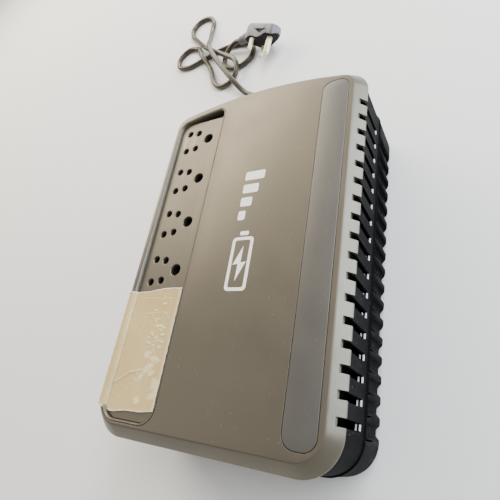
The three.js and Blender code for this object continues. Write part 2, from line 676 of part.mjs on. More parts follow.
// Steel strap over the core with a screwed foot at each end.
function makeStrap() {
  const { left, right, near, far, bottom, height } = TRANSFORMER;
  const { thick, foot, inset, hole } = STRAP;
  const y0 = near + inset;
  const y1 = far - inset;
  const top = bottom + height + GAP;
  const outer = block(left - GAP - thick, right + GAP + thick, y0, y1, bottom, top + thick);
  const inner = block(left - GAP, right + GAP, y0 - 1, y1 + 1, bottom - 1, top);
  const feet = [left - GAP - foot, right + GAP].map((x) => (
    block(x, x + foot, y0, y1, bottom, bottom + thick)));
  const holes = STRAP_SCREWS.map(({ x, y }) => rodZ(hole, bottom - 1, bottom + 4, x, y, 10));
  return cut(join(cut(outer, inner), ...feet), ...holes);
}

const STRAP_SCREWS = [TRANSFORMER.left - 7, TRANSFORMER.right + 7].map((x) => (
  { x, y: (TRANSFORMER.near + TRANSFORMER.far) / 2 }));

function makeStrapScrew({ x, y }) {
  const seat = TRANSFORMER.bottom + STRAP.thick + GAP;
  return join(
    rodZ(4, seat, seat + 2.2, x, y, 12),
    rodZ(1.9, FLOOR_TOP + GAP, seat + 0.2, x, y, 10),
  );
}

// ---- electronics --------------------------------------------------------------------------

const BOARD_AREA = { left: -82, right: -34.5, near: -112, far: 96, bottom: 12, top: 13.6 };

const BOARD_SEAT = BOARD_AREA.top + GAP;
const HEAT_SINK = {
  left: -80, thickness: 3, near: -100, far: -40, height: 38, fins: 6, finPitch: 11.6, finTip: -68,
};
const TRANSISTOR = { left: -76.6, right: -72.2, y: -93.2, pitch: 23.2, half: 4.3 };
const CAPACITOR = { x: -44, y: -92, pitch: 16, radius: 6.3, height: 26 };
const RELAY = { left: -74, right: -59, y: -18, pitch: 24, length: 19, height: 15.5 };
const BUZZER = { x: -44, y: -52, radius: 6, height: 8 };
const PANEL_BOARD = { left: -72, right: -40, near: -118, far: -70, thickness: 1.6 };

function makeBoard() {
  const { left, right, near, far, bottom, top } = BOARD_AREA;
  const holes = [[left + 5, near + 5], [right - 5, near + 5], [left + 5, far - 5], [right - 5, far - 5]];
  return cut(
    block(left, right, near, far, bottom, top),
    ...holes.map(([x, y]) => rodZ(1.7, bottom - 1, top + 1, x, y, 10)),
  );
}

// Finned extrusion standing along the board's left edge.
function makeHeatSink() {
  const { left, thickness, near, far, height, fins, finPitch, finTip } = HEAT_SINK;
  const right = left + thickness;
  const top = BOARD_SEAT + height;
  const spine = block(left, right, near, far, BOARD_SEAT, top);
  const finRow = repeat(fins, (i) => (
    block(right - 0.2, finTip, near + i * finPitch, near + i * finPitch + 2, BOARD_SEAT + 3, top)));
  return join(spine, ...finRow);
}

// A flat package against the heat sink, on one wide leg.
function makeTransistor(i) {
  const { left, right, pitch, half } = TRANSISTOR;
  const y = TRANSISTOR.y + i * pitch;
  const bottom = BOARD_AREA.top + 8;
  return join(
    block(left, right, y - half, y + half, bottom, bottom + 15),
    block(left + 1.4, right - 2.2, y - 3, y + 3, BOARD_SEAT, bottom + 0.2),
  );
}

function makeCapacitor(i) {
  const { x, y, pitch, radius, height } = CAPACITOR;
  return rodZ(radius, BOARD_SEAT, BOARD_SEAT + height, x, y + i * pitch, 18);
}

function makeRelay(i) {
  const { left, right, y, pitch, length, height } = RELAY;
  const near = y + i * pitch;
  return block(left, right, near, near + length, BOARD_SEAT, BOARD_SEAT + height);
}

function makeBuzzer() {
  const { x, y, radius, height } = BUZZER;
  const top = BOARD_SEAT + height;
  return cut(rodZ(radius, BOARD_SEAT, top, x, y, 18), rodZ(1, top - 3, top + 1, x, y, 8));
}

function makePanelBoard() {
  const { left, right, near, far, thickness } = PANEL_BOARD;
  return block(left, right, near, far, PANEL_BOARD_TOP - thickness, PANEL_BOARD_TOP);
}

function makeTactSwitch() {
  const half = 3;
  const seat = PANEL_BOARD_TOP + GAP;
  return block(BUTTON_X - half, BUTTON_X + half, BUTTON_Y - half, BUTTON_Y + half, seat, seat + 1.6);
}

function makeStatusLamp() {
  const seat = PANEL_BOARD_TOP + GAP;
  const shoulder = seat + 4;
  return join(
    rodZ(1.9, seat, shoulder, BUTTON_X, LAMP_Y, 12),
    rodZ(1.9, shoulder, shoulder + 1.4, BUTTON_X, LAMP_Y, 12, 1),
  );
}

// ---- rear end -----------------------------------------------------------------------------

// The barrel goes out through the wall, and the reset button slides in its bore.
function makeBreakerBody() {
  const { x, z, radius, boxHalf, boxHeight, boxDepth, button } = BREAKER;
  const front = BREAKER_FRONT_Y;
  const barrel = rodY(radius - GAP, front - 1, BREAKER_SEAT_Y + 2.2, x, z, 20);
  const box = block(x - boxHalf, x + boxHalf, front - boxDepth, front, z - boxHeight / 2, z + boxHeight / 2);
  const bore = rodY(button + GAP, front - 6, LENGTH, x, z, 16);
  return cut(join(barrel, box), bore);
}

function makeBreakerNut() {
  const { x, z, radius } = BREAKER;
  const seat = BREAKER_SEAT_Y + GAP;
  return cut(rodY(9.4, seat, seat + 2, x, z, 6), rodY(radius, seat - 1, seat + 4, x, z, 20));
}

function makeBreakerButton() {
  return rodY(BREAKER.button, BREAKER_SEAT_Y - 6, BREAKER_SEAT_Y + 4, BREAKER.x, BREAKER.z, 16);
}

// Tapered sleeve moulded round the cord where it leaves the rear end.
function makeCordRelief() {
  const { x, z } = CORD_EXIT;
  const seat = RELIEF_SEAT_Y + GAP;
  return join(
    rodY(RELIEF.flange, RELIEF_BACK_Y - 2.5, RELIEF_BACK_Y, x, z, 20),
    rodY(RELIEF.neck, RELIEF_BACK_Y - 1, seat + 1, x, z, 20),
    rodY(RELIEF.flange, seat, seat + 3, x, z, 20),
    rodY(RELIEF.root, seat + 2.9, RELIEF.tipY, x, z, 20, RELIEF.tip),
  );
}

// ---- mains cord and plug ------------------------------------------------------------------

function tube(points, radius, steps, sides) {
  const section = new THREE.Shape(repeat(sides, (i) => {
    const angle = (2 * Math.PI * i) / sides;
    return new THREE.Vector2(radius * Math.cos(angle), radius * Math.sin(angle));
  }));
  const extrudePath = new THREE.CatmullRomCurve3(points.map((p) => new THREE.Vector3(...p)));
  return toSolid(new THREE.ExtrudeGeometry(section, { extrudePath, steps, bevelEnabled: false }));
}

function makeMainsCord() {
  return tube(CORD_ROUTE, CORD_RADIUS, CORD_STEPS, CORD_SIDES);
}

function layPlug(solid) {
  const { pitch, roll, yaw } = PLUG_TURN;
  return solid.rotate([pitch, -roll, yaw]).translate(PLUG_CENTRE);
}

// Rounded triangle round the three corners, standing along Y from the face backwards.
function plugSlab(y0, y1, scale0, scale1) {
  const disc = ({ x, z, radius }, scale, y) => rodY(radius * scale, y, y + 0.1, x * scale, z * scale, 20);
  const near = PLUG_CORNERS.map((corner) => disc(corner, scale0, y0));
  const far = PLUG_CORNERS.map((corner) => disc(corner, scale1, y1 - 0.1));
  return wasm.Manifold.hull([...near, ...far]);
}

// The boot for the cord comes out of the body's side, and a dent marks the top.
function makePlugBody() {
  const { depth, faceDepth, shoulderDepth, shoulderScale, backScale } = PLUG;
  const { y, z, end, root, endRadius, rootRadius } = PLUG_BOOT;
  const boot = rodZ(endRadius, 0, root - end, 0, 0, 16, rootRadius).rotate([0, 90, 0]).translate([end, y, z]);
  const body = join(
    plugSlab(faceDepth + GAP, shoulderDepth, 1, shoulderScale),
    plugSlab(shoulderDepth - 0.1, depth, shoulderScale, backScale),
    boot,
  );
  const dent = rodY(7, shoulderDepth - 11, shoulderDepth - 4, -2, 18.6, 3);
  return layPlug(cut(body, dent));
}

function makePlugFace() {
  const seats = PLUG_PINS.map(({ x, z, radius }) => rodY(radius + GAP, -1, PLUG.faceDepth - 1, x, z, 16));
  return layPlug(cut(plugSlab(0, PLUG.faceDepth, 0.92, 0.96), ...seats));
}

function makePlugPin({ x, z, radius, length }) {
  const root = PLUG.faceDepth - 1 - GAP;
  const tip = -length;
  return layPlug(join(
    rodY(radius, tip + 1, root, x, z, 16),
    rodY(radius - 0.9, tip, tip + 1.1, x, z, 16, radius),
  ));
}

addPart('top_cover', makeTopCover(), COVER_PLASTIC);
addPart('side_strip', makeStrip(), COVER_PLASTIC);
addPart('outlet_plate', makeOutletPlate(), COVER_PLASTIC);
addPart('control_panel', makeControlPanel(), COVER_PLASTIC);
addPart('power_button', makePowerButton(), PALE_PLASTIC);
addPart('power_light_pipe', makeLightPipe(), PALE_PLASTIC);
addPart('protective_film', makeFilm(), FILM);
addPart('outlet_housing', makeOutletHousing(), DARK_PLASTIC);
OUTLET_ROWS.forEach((y, i) => addPart(`outlet_contact_block_${i + 1}`, makeContactBlock(y), DARK_PLASTIC));
addPart('live_bus_bar', makeBusBar(OUTER_PAIR_X, OUTER_PAIR_HALF), BRASS);
addPart('neutral_bus_bar', makeNeutralBar(), BRASS);
addPart('earth_bus_bar', makeBusBar(EARTH_X, 0), BRASS);

addPart('bottom_shell', makeBottomShell(), SHELL_PLASTIC);
addPart('battery_door', makeBatteryDoor(), SHELL_PLASTIC);
FEET.forEach((foot) => addPart(`foot_${foot.name}`, makeFoot(foot), RUBBER));
SCREW_PLACES.forEach((place, i) => addPart(`case_screw_${i + 1}`, makeCaseScrew(place), STEEL));

addPart('battery', makeBattery(), DARK_PLASTIC);
TERMINALS.forEach((terminal) => addPart(`battery_terminal_${terminal.name}`, makeTerminal(terminal), BRASS));
TERMINALS.forEach((terminal) => addPart(`battery_lead_${terminal.name}`, makeBatteryLead(terminal), RUBBER));
addPart('battery_pad', makePad(), RUBBER);

addPart('transformer_core', makeCore(), STEEL);
addPart('transformer_winding', makeWinding(), COPPER_WINDING);
addPart('transformer_strap', makeStrap(), STEEL);
STRAP_SCREWS.forEach((place, i) => addPart(`strap_screw_${i + 1}`, makeStrapScrew(place), STEEL));

addPart('main_board', makeBoard(), BOARD);
addPart('heat_sink', makeHeatSink(), ALUMINIUM);
repeat(2, (i) => addPart(`power_transistor_${i + 1}`, makeTransistor(i), DARK_PLASTIC));
repeat(2, (i) => addPart(`filter_capacitor_${i + 1}`, makeCapacitor(i), DARK_PLASTIC));
repeat(2, (i) => addPart(`relay_${i + 1}`, makeRelay(i), DARK_PLASTIC));
addPart('buzzer', makeBuzzer(), DARK_PLASTIC);
addPart('panel_board', makePanelBoard(), BOARD);
addPart('power_switch', makeTactSwitch(), DARK_PLASTIC);
addPart('status_lamp', makeStatusLamp(), PALE_PLASTIC);

addPart('breaker_body', makeBreakerBody(), DARK_PLASTIC);
addPart('breaker_nut', makeBreakerNut(), STEEL);
addPart('breaker_button', makeBreakerButton(), DARK_PLASTIC);
addPart('cord_relief', makeCordRelief(), RUBBER);

addPart('mains_cord', makeMainsCord(), CORD_PLASTIC);
addPart('plug_body', makePlugBody(), PLUG_PLASTIC);
addPart('plug_face', makePlugFace(), DARK_PLASTIC);
PLUG_PINS.forEach((pin) => addPart(`plug_pin_${pin.name}`, makePlugPin(pin), BRASS));

export default model;
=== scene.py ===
"""Blender scene of a slim uninterruptible power supply that lies flat, with its mains cord and plug.

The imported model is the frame. Lengths in this script are in millimetres until a mesh is made.
"""
import math
import random

import bpy
import bmesh
from mathutils import Euler, Matrix, Vector


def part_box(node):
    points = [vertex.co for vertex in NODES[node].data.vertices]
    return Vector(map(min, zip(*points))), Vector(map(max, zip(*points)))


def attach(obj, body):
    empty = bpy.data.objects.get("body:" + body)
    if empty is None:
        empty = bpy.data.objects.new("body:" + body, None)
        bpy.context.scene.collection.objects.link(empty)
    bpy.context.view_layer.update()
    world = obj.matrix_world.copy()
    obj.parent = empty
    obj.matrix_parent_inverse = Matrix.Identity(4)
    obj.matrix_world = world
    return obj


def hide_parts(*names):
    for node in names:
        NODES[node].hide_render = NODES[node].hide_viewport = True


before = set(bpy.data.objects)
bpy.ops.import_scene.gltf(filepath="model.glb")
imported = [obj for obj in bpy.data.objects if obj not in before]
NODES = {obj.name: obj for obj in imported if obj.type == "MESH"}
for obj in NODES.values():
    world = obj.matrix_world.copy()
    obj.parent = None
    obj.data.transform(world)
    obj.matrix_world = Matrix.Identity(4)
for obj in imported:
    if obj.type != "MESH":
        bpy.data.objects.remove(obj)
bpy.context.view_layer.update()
MM = 0.001

# ---- dimensions shared with the model, in millimetres -------------------------------------

WIDTH, LENGTH, HEIGHT, GAP = 182.0, 288.0, 90.0, 0.35
NEAR_CORNER, FAR_CORNER, BOW_RADIUS = 25.5, 19.5, 335.0
BOW_CENTRE_Y = LENGTH / 2 - BOW_RADIUS
SKIRT_OUT, SKIRT_BOTTOM = 7.5, 80.0
COVER_WALL, COVER_INNER_TOP = 2.4, 87.4
SHELL_BOTTOM, SHELL_TOP, RIDGE_Z, FLOOR_TOP = 2.5, 79.65, 40.0, 6.0
UPPER_INSET, LOWER_INSET = 1.6, 0.9
VENT_COUNT, VENT_FAR, VENT_PITCH = 17, 102, 13.46
VENT_ROWS = [VENT_FAR - VENT_PITCH * i for i in range(VENT_COUNT)]
VENT_WIDTH, VENT_TOP, VENT_BOTTOM = 4.7, 86.2, 48.0
COVER_VENT_DEPTH, SHELL_VENT_DEPTH = 4.3, 6.0
GROOVE_HALF, GROOVE_FLAT, GROOVE_DEPTH, GROOVE_TOP = 5.5, 1.3, 3.4, 38.5
CHANNEL_LEFT, CHANNEL_RIGHT, CHANNEL_NEAR, CHANNEL_FAR_INSET = -78.9, -33.3, -132.8, 14.4
CHANNEL_NEAR_RADIUS, CHANNEL_LEFT_RADIUS, CHANNEL_RIGHT_RADIUS = 11.0, 9.0, 5.5
PLATE_TOP, PLATE_BOTTOM, PLATE_FAR, PANEL_LINE = 87.0, 84.0, 120.8, -46.3
OUTLET_COUNT, OUTLET_FAR, OUTLET_PITCH = 4, 100.1, 41.5
OUTLET_ROWS = [OUTLET_FAR - OUTLET_PITCH * i for i in range(OUTLET_COUNT)]
OUTER_PAIR_X, OUTER_PAIR_HALF, INNER_PAIR_X, INNER_PAIR_HALF = -69.0, 9.525, -59.1, 8.3
EARTH_X, PIN_HOLE, EARTH_HOLE = -46.8, 2.8, 4.4
RIM_CHAMFER = 0.55
STRIP = (59.0, 79.3, -130.9, 124.3)
STRIP_RADIUS, STRIP_DEPTH = 8.5, 1.35
BUTTON_X, BUTTON_Y, BUTTON_RADIUS = -57.0, -104.0, 7.0
LAMP_Y, LAMP_RADIUS = -80.0, 2.0
SCREW_PLACES = [(-31, -131), (80, -118), (-26, 124), (75, 113)]
SCREW_WELL_RADIUS, FOOT_HALF_WIDTH, FOOT_HALF_LENGTH, FOOT_RADIUS, FOOT_SEAT_RADIUS = 3.8, 3.4, 18, 3.39, 3.7
FOOT_PLACES = {
    "foot_near_left": (-81.8, -84), "foot_near_right": (81.8, -84),
    "foot_far_left": (-81.8, 84), "foot_far_right": (81.8, 84),
}
DOOR = {"left": -25.0, "right": 73.0, "far": 28.0, "tongue": 2.6, "lip_top": 20.0, "bottom": 2.7, "top": 5.0}
DOOR_RAILS = (3.65, 5.35)
BREAKER_X, BREAKER_Z, BREAKER_RADIUS, BREAKER_SEAT_RADIUS = 10.0, 24.0, 6.2, 11.5
CORD_RADIUS, CORD_EXIT_X, CORD_EXIT_Z = 3.25, -34.0, 24.0
RELIEF_HOLE_RADIUS, RELIEF_SEAT_RADIUS = 6.75, 10
RELIEF_TIP_Y, RELIEF_RIBS, RELIEF_PITCH = 178.3, 9, 3.7
CORD_ROUTE = [
    (-34, 178.6, 24), (-34.6, 194, 22.6), (-43, 212, 14), (-60, 226, 6), (-84, 242, 4.6),
    (-107, 268, 12.8), (-149, 329, 19.4), (-161, 362, 10), (-168, 386, 4.2), (-171.5, 409.3, 3.4),
    (-181.5, 421.8, 3.3), (-198, 422.2, 3.3), (-208.4, 409.6, 3.3), (-205, 393.3, 3.3),
    (-195, 380.5, 3.8), (-161, 342, 10.6), (-133, 320, 11.2), (-107, 298, 11.6), (-102, 282.5, 9.4),
    (-110.1, 269.4, 4.8), (-126, 266.6, 3.3), (-138.5, 276.5, 3.3), (-152, 307, 4.8),
    (-170, 334, 10.6), (-185, 357.5, 4), (-203.5, 364, 3.6), (-217.5, 352, 3.3), (-214.5, 334.5, 3.3),
    (-196, 326.5, 3.3), (-166, 333, 3.3), (-138, 339.5, 3.3), (-109, 337, 3.3), (-89, 325, 3.3),
    (-89, 304, 3.3), (-108, 292.5, 3.3), (-127.1, 303.5, 3.3), (-131, 317.5, 3.5), (-124.5, 329, 7),
    (-112.5, 331.5, 11.7), (-102.4, 327.1, 14.3),
]
PLUG_CENTRE = (-61.1, 303.9, 19.7)
PLUG_PITCH, PLUG_ROLL, PLUG_YAW = 14.9, 14.6, -18.6
PLUG_DEPTH, PLUG_FACE = 20.0, 3.0
PLUG_HEEL, PIN_OFFSET, PIN_HALF_PITCH = -17.0, 11.1, 9.525
PLUG_CORNERS = [(PLUG_HEEL, 6, 9), (14.5, -1.5, 8.5), (-PIN_OFFSET, -PIN_HALF_PITCH, 8)]
PLUG_PINS = {
    "live": (-PIN_OFFSET, PIN_HALF_PITCH, 2.55, 15.0),
    "neutral": (-PIN_OFFSET, -PIN_HALF_PITCH, 2.55, 15.0),
    "earth": (PIN_OFFSET, 0.0, 3.5, 20.6),
}
PLUG_STEPS, PLUG_EDGE_STEPS, PLUG_LONG_EDGE, PLUG_LIP_DIP, PLUG_SLANT = 120, 24, 4.0, 0.68, 0.18
BOOT_Y, BOOT_Z, BOOT_RIBS, BOOT_PITCH = 10.2, 4.0, 6, 3.1

# ---- mesh helpers -------------------------------------------------------------------------

WELD_DISTANCE, SOFT_ANGLE, SOFT_SEGMENTS = 0.004, 32, 2


def arc(x, y, radius, start, end, steps):
    return [(x + radius * math.cos(start + (end - start) * i / steps),
             y + radius * math.sin(start + (end - start) * i / steps)) for i in range(steps + 1)]


def bowed_outline(left, right, near, bow, near_radius, far_left, far_right, corner=18, bow_steps=36):
    """Anticlockwise outline with a straight near end and a far end bowed about the bow centre."""
    right_x = right - far_right
    left_x = left + far_left
    right_y = BOW_CENTRE_Y + math.sqrt((bow - far_right) ** 2 - right_x ** 2)
    left_y = BOW_CENTRE_Y + math.sqrt((bow - far_left) ** 2 - left_x ** 2)
    right_angle = math.atan2(right_y - BOW_CENTRE_Y, right_x)
    left_angle = math.atan2(left_y - BOW_CENTRE_Y, left_x)
    near_y = near + near_radius
    return (arc(right - near_radius, near_y, near_radius, -math.pi / 2, 0, corner)
            + arc(right_x, right_y, far_right, 0, right_angle, corner)
            + arc(0, BOW_CENTRE_Y, bow, right_angle, left_angle, bow_steps)[1:-1]
            + arc(left_x, left_y, far_left, left_angle, math.pi, corner)
            + arc(left + near_radius, near_y, near_radius, math.pi, 1.5 * math.pi, corner))


def body_outline(inset):
    return bowed_outline(-WIDTH / 2 + inset, WIDTH / 2 - inset, -LENGTH / 2 + inset, BOW_RADIUS - inset,
                         NEAR_CORNER - inset, FAR_CORNER - inset, FAR_CORNER - inset)


def channel_outline(inset):
    return bowed_outline(CHANNEL_LEFT + inset, CHANNEL_RIGHT - inset, CHANNEL_NEAR + inset,
                         BOW_RADIUS - CHANNEL_FAR_INSET - inset, CHANNEL_NEAR_RADIUS - inset,
                         CHANNEL_LEFT_RADIUS - inset, CHANNEL_RIGHT_RADIUS - inset,
                         corner=12, bow_steps=12)


def rounded_outline(x0, x1, y0, y1, radius):
    steps = 12
    return (arc(x1 - radius, y0 + radius, radius, -math.pi / 2, 0, steps)
            + arc(x1 - radius, y1 - radius, radius, 0, math.pi / 2, steps)
            + arc(x0 + radius, y1 - radius, radius, math.pi / 2, math.pi, steps)
            + arc(x0 + radius, y0 + radius, radius, math.pi, 1.5 * math.pi, steps))


def mesh_object(name, points, faces):
    mesh = bpy.data.meshes.new(name)
    mesh.from_pydata([tuple(c * MM for c in p) for p in points], [], faces)
    mesh.update()
    obj = bpy.data.objects.new(name, mesh)
    bpy.context.scene.collection.objects.link(obj)
    return obj


def skin(name, rings):
    """A closed skin through rings of equal count, each a list of points."""
    count = len(rings[0])
    points = [p for ring in rings for p in ring]
    faces = []
    for level in range(len(rings) - 1):
        for i in range(count):
            a = level * count + i
            b = level * count + (i + 1) % count
            faces.append((a, b, b + count, a + count))
    faces.append(tuple(reversed(range(count))))
    faces.append(tuple(range((len(rings) - 1) * count, len(rings) * count)))
    return mesh_object(name, points, faces)


def loft(name, levels):
    """levels is a list of (z, outline)."""
    return skin(name, [[(x, y, z) for x, y in outline] for z, outline in levels])


def prism(name, outline, z0, z1):
    return loft(name, [(z0, outline), (z1, outline)])


def block(name, x0, x1, y0, y1, z0, z1):
    return prism(name, [(x0, y0), (x1, y0), (x1, y1), (x0, y1)], z0, z1)


def lathe_z(name, x, y, profile, steps=48):
    """profile is a list of (radius, z), from the bottom up."""
    return skin(name, [[(px, py, z) for px, py in arc(x, y, radius, 0, 2 * math.pi, steps)[:-1]]
                       for radius, z in profile])


def lathe_y(name, x, z, profile, steps=48):
    """profile is a list of (radius, y), with y rising."""
    rings = []
    for radius, y in profile:
        circle = arc(x, z, radius, 0, 2 * math.pi, steps)[:-1]
        rings.append([(px, y, pz) for px, pz in reversed(circle)])
    return skin(name, rings)


def join(name, objects):
    """Several meshes as one object."""
    made = bmesh.new()
    for obj in objects:
        made.from_mesh(obj.data)
        bpy.data.objects.remove(obj)
    mesh = bpy.data.meshes.new(name)
    made.to_mesh(mesh)
    made.free()
    obj = bpy.data.objects.new(name, mesh)
    bpy.context.scene.collection.objects.link(obj)
    return obj


def apply_modifiers(obj):
    graph = bpy.context.evaluated_depsgraph_get()
    mesh = bpy.data.meshes.new_from_object(obj.evaluated_get(graph))
    obj.modifiers.clear()
    obj.data = mesh


def combine(target, tool, operation="DIFFERENCE"):
    modifier = target.modifiers.new("combine", "BOOLEAN")
    modifier.operation = operation
    modifier.solver = "MANIFOLD"
    modifier.object = tool
    apply_modifiers(target)
    bpy.data.objects.remove(tool)
    return target


def cut(target, *tools):
    for tool in tools:
        combine(target, tool)
    return target


def weld(obj):
    """Merges points that lie together and splits the many-sided faces that booleans leave."""
    made = bmesh.new()
    made.from_mesh(obj.data)
    bmesh.ops.remove_doubles(made, verts=made.verts, dist=WELD_DISTANCE * MM)
    bmesh.ops.triangulate(made, faces=[f for f in made.faces if len(f.verts) > 4])
    made.to_mesh(obj.data)
    made.free()


def soften(obj, width):
    """Rounds the sharp edges and shades the rest smooth."""
    weld(obj)
    modifier = obj.modifiers.new("edges", "BEVEL")
    modifier.width = width * MM
    modifier.segments = SOFT_SEGMENTS
    modifier.limit_method = "ANGLE"
    modifier.angle_limit = math.radians(SOFT_ANGLE)
    modifier.use_clamp_overlap = False
    modifier.harden_normals = True
    obj.data.shade_smooth()
    return obj


def dress(obj, material, body="case", replaces=()):
    """Gives a piece its material and its body, and hides the CAD nodes that it stands for."""
    obj.data.materials.clear()
    obj.data.materials.append(material)
    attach(obj, body)
    if replaces:
        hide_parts(*replaces)
    return obj


# ---- camera -------------------------------------------------------------------------------

LENS, SENSOR_WIDTH, SHIFT_X, SHIFT_Y = 29.79, 36.0, -0.0026, -0.0098
CAMERA_RIGHT = (0.86129, 0.16081, -0.48200)
CAMERA_BACK = (0.50378, -0.39390, 0.76879)
CAMERA_PLACE = (162.86, -122.09, 308.96)


def make_camera():
    data = bpy.data.cameras.new("camera")
    data.sensor_width = SENSOR_WIDTH
    data.lens = LENS
    data.shift_x = SHIFT_X
    data.shift_y = SHIFT_Y
    data.clip_start = 0.01
    camera = bpy.data.objects.new("camera", data)
    right = Vector(CAMERA_RIGHT).normalized()
    back = Vector(CAMERA_BACK).normalized()
    up = back.cross(right)
    placed = Matrix((right, up, back)).transposed().to_4x4()
    placed.translation = Vector(CAMERA_PLACE) * MM
    camera.matrix_world = placed
    bpy.context.scene.collection.objects.link(camera)
    bpy.context.scene.camera = camera


make_camera()

# ---- materials ----------------------------------------------------------------------------

DUST = (0.52, 0.49, 0.43)


class Nodes:
    """A node material with a Principled shader and object coordinates."""

    def __init__(self, name):
        self.material = bpy.data.materials.new(name)
        self.material.use_nodes = True
        self.tree = self.material.node_tree
        self.shader = self.tree.nodes["Principled BSDF"]
        self.place = self.tree.nodes.new("ShaderNodeTexCoord").outputs["Object"]

    def add(self, kind, **values):
        node = self.tree.nodes.new(kind)
        for key, value in values.items():
            setattr(node, key, value)
        return node

    def link(self, output, target):
        self.tree.links.new(output, target)

    def noise(self, scale, detail=3.0, stretch=None):
        node = self.add("ShaderNodeTexNoise")
        node.inputs["Scale"].default_value = scale
        node.inputs["Detail"].default_value = detail
        source = self.place
        if stretch:
            mapping = self.add("ShaderNodeMapping")
            mapping.inputs["Scale"].default_value = stretch
            self.link(self.place, mapping.inputs["Vector"])
            source = mapping.outputs["Vector"]
        self.link(source, node.inputs["Vector"])
        return node.outputs["Fac"]

    def spread(self, value, low, high, to_low=0.0, to_high=1.0):
        node = self.add("ShaderNodeMapRange")
        node.inputs["From Min"].default_value = low
        node.inputs["From Max"].default_value = high
        node.inputs["To Min"].default_value = to_low
        node.inputs["To Max"].default_value = to_high
        self.link(value, node.inputs["Value"])
        return node.outputs["Result"]

    def mix(self, factor, first, second):
        node = self.add("ShaderNodeMix", data_type="RGBA")
        self.link(factor, node.inputs[0])
        for socket, value in ((node.inputs[6], first), (node.inputs[7], second)):
            if isinstance(value, tuple):
                socket.default_value = (*value, 1.0)
            else:
                self.link(value, socket)
        return node.outputs[2]

    def bump(self, height, strength, distance):
        node = self.add("ShaderNodeBump")
        node.inputs["Strength"].default_value = strength
        node.inputs["Distance"].default_value = distance * MM
        self.link(height, node.inputs["Height"])
        return node.outputs["Normal"]

    def colour(self, value):
        self.link(value, self.shader.inputs["Base Color"])

    def rough(self, value):
        self.link(value, self.shader.inputs["Roughness"])

    def normal(self, value):
        self.link(value, self.shader.inputs["Normal"])


def moulded(name, light, dark, rough=(0.38, 0.5), grain=1600, grain_depth=0.03, dust=None, specular=0.5,
            metallic=0.0):
    """Moulded plastic with a fine grain, slow colour drift, uneven gloss, edge wear and dust."""
    made = Nodes(name)
    base = made.mix(made.spread(made.noise(9, 2), 0.35, 0.65), dark, light)
    edge = made.add("ShaderNodeNewGeometry").outputs["Pointiness"]
    worn = tuple(min(1.0, c * 1.5 + 0.02) for c in light)
    base = made.mix(made.spread(edge, 0.53, 0.62, 0.0, 0.5), base, worn)
    if dust:
        specks = made.spread(made.noise(420, 1), 0.73, 0.76, 0.0, dust)
        base = made.mix(specks, base, DUST)
    made.colour(base)
    made.rough(made.spread(made.noise(45, 4), 0.3, 0.7, *rough))
    made.normal(made.bump(made.noise(grain, 2), 0.5, grain_depth))
    made.shader.inputs["Specular IOR Level"].default_value = specular
    made.shader.inputs["Metallic"].default_value = metallic
    return made.material


def metal(name, colour, dark, rough=(0.2, 0.4), stretch=(1, 1, 30)):
    """Metal with fine drawn lines and stained patches."""
    made = Nodes(name)
    made.shader.inputs["Metallic"].default_value = 1.0
    made.colour(made.mix(made.spread(made.noise(30, 4), 0.4, 0.7), colour, dark))
    lines = made.noise(300, 3, stretch=stretch)
    made.rough(made.spread(lines, 0.3, 0.7, *rough))
    made.normal(made.bump(lines, 0.2, 0.02))
    return made.material


def film_material():
    """Thin yellowed film: stuck down it is darker, over trapped air lighter, on its edges whitened."""
    made = Nodes("film")
    stain = made.spread(made.noise(24, 2), 0.35, 0.7)
    stuck = made.mix(stain, (0.63, 0.46, 0.195), (0.69, 0.525, 0.245))
    trapped = made.add("ShaderNodeAttribute", attribute_name="air")
    aired = made.mix(trapped.outputs["Fac"], stuck, (0.88, 0.76, 0.43))
    whitened = made.add("ShaderNodeAttribute", attribute_name="edge")
    made.colour(made.mix(whitened.outputs["Fac"], aired, (0.97, 0.94, 0.84)))
    made.rough(made.spread(made.noise(160, 3), 0.3, 0.7, 0.18, 0.34))
    made.normal(made.bump(made.noise(230, 3), 0.2, 0.05))
    made.shader.inputs["Alpha"].default_value = 0.92
    made.shader.inputs["IOR"].default_value = 1.5
    return made.material


SATIN = {"rough": (0.37, 0.43), "grain": 2200, "grain_depth": 0.018, "metallic": 0.7}
COVER = moulded("cover_plastic", (0.152, 0.134, 0.103), (0.144, 0.127, 0.098), dust=0.12, **SATIN)
STRIP_PLASTIC = moulded("strip_plastic", (0.140, 0.133, 0.122), (0.134, 0.127, 0.116), dust=0.1, **SATIN)
SHELL = moulded("shell_plastic", (0.0026, 0.0029, 0.0034), (0.0019, 0.0022, 0.0026), rough=(0.55, 0.68),
                grain=1500, grain_depth=0.03, dust=0.1, specular=0.03)
DARK = moulded("dark_plastic", (0.006, 0.006, 0.007), (0.004, 0.004, 0.005), rough=(0.5, 0.65),
               specular=0.2)
PALE = moulded("pale_plastic", (0.62, 0.6, 0.54), (0.55, 0.53, 0.48), rough=(0.3, 0.45))
# Pale paint for the small blocks at the foot of each vent: painted highlights that stand for glints.
PAINTED_GLINT = moulded("painted_vent_glint", (0.9, 0.9, 0.87), (0.75, 0.75, 0.73), rough=(0.25, 0.4))
MARK = moulded("mark_ink", (0.98, 0.94, 0.80), (0.95, 0.91, 0.77), rough=(0.4, 0.5), grain_depth=0.008)
RUBBER = moulded("rubber", (0.02, 0.02, 0.021), (0.012, 0.012, 0.012), rough=(0.6, 0.8), dust=0.6)
CORD = moulded("cord_plastic", (0.055, 0.045, 0.030), (0.042, 0.035, 0.024), rough=(0.24, 0.36), grain=700,
               metallic=0.35)
PLUG_GREY = moulded("plug_grey", (0.165, 0.162, 0.182), (0.145, 0.142, 0.16), rough=(0.3, 0.42), dust=0.2)
STEEL = metal("steel", (0.55, 0.56, 0.58), (0.35, 0.34, 0.33))
BRASS = metal("brass", (0.93, 0.82, 0.60), (0.72, 0.58, 0.36), rough=(0.16, 0.3))
PIN_METAL = moulded("pin_plating", (0.95, 0.84, 0.62), (0.90, 0.78, 0.56), rough=(0.34, 0.46), metallic=0.55)
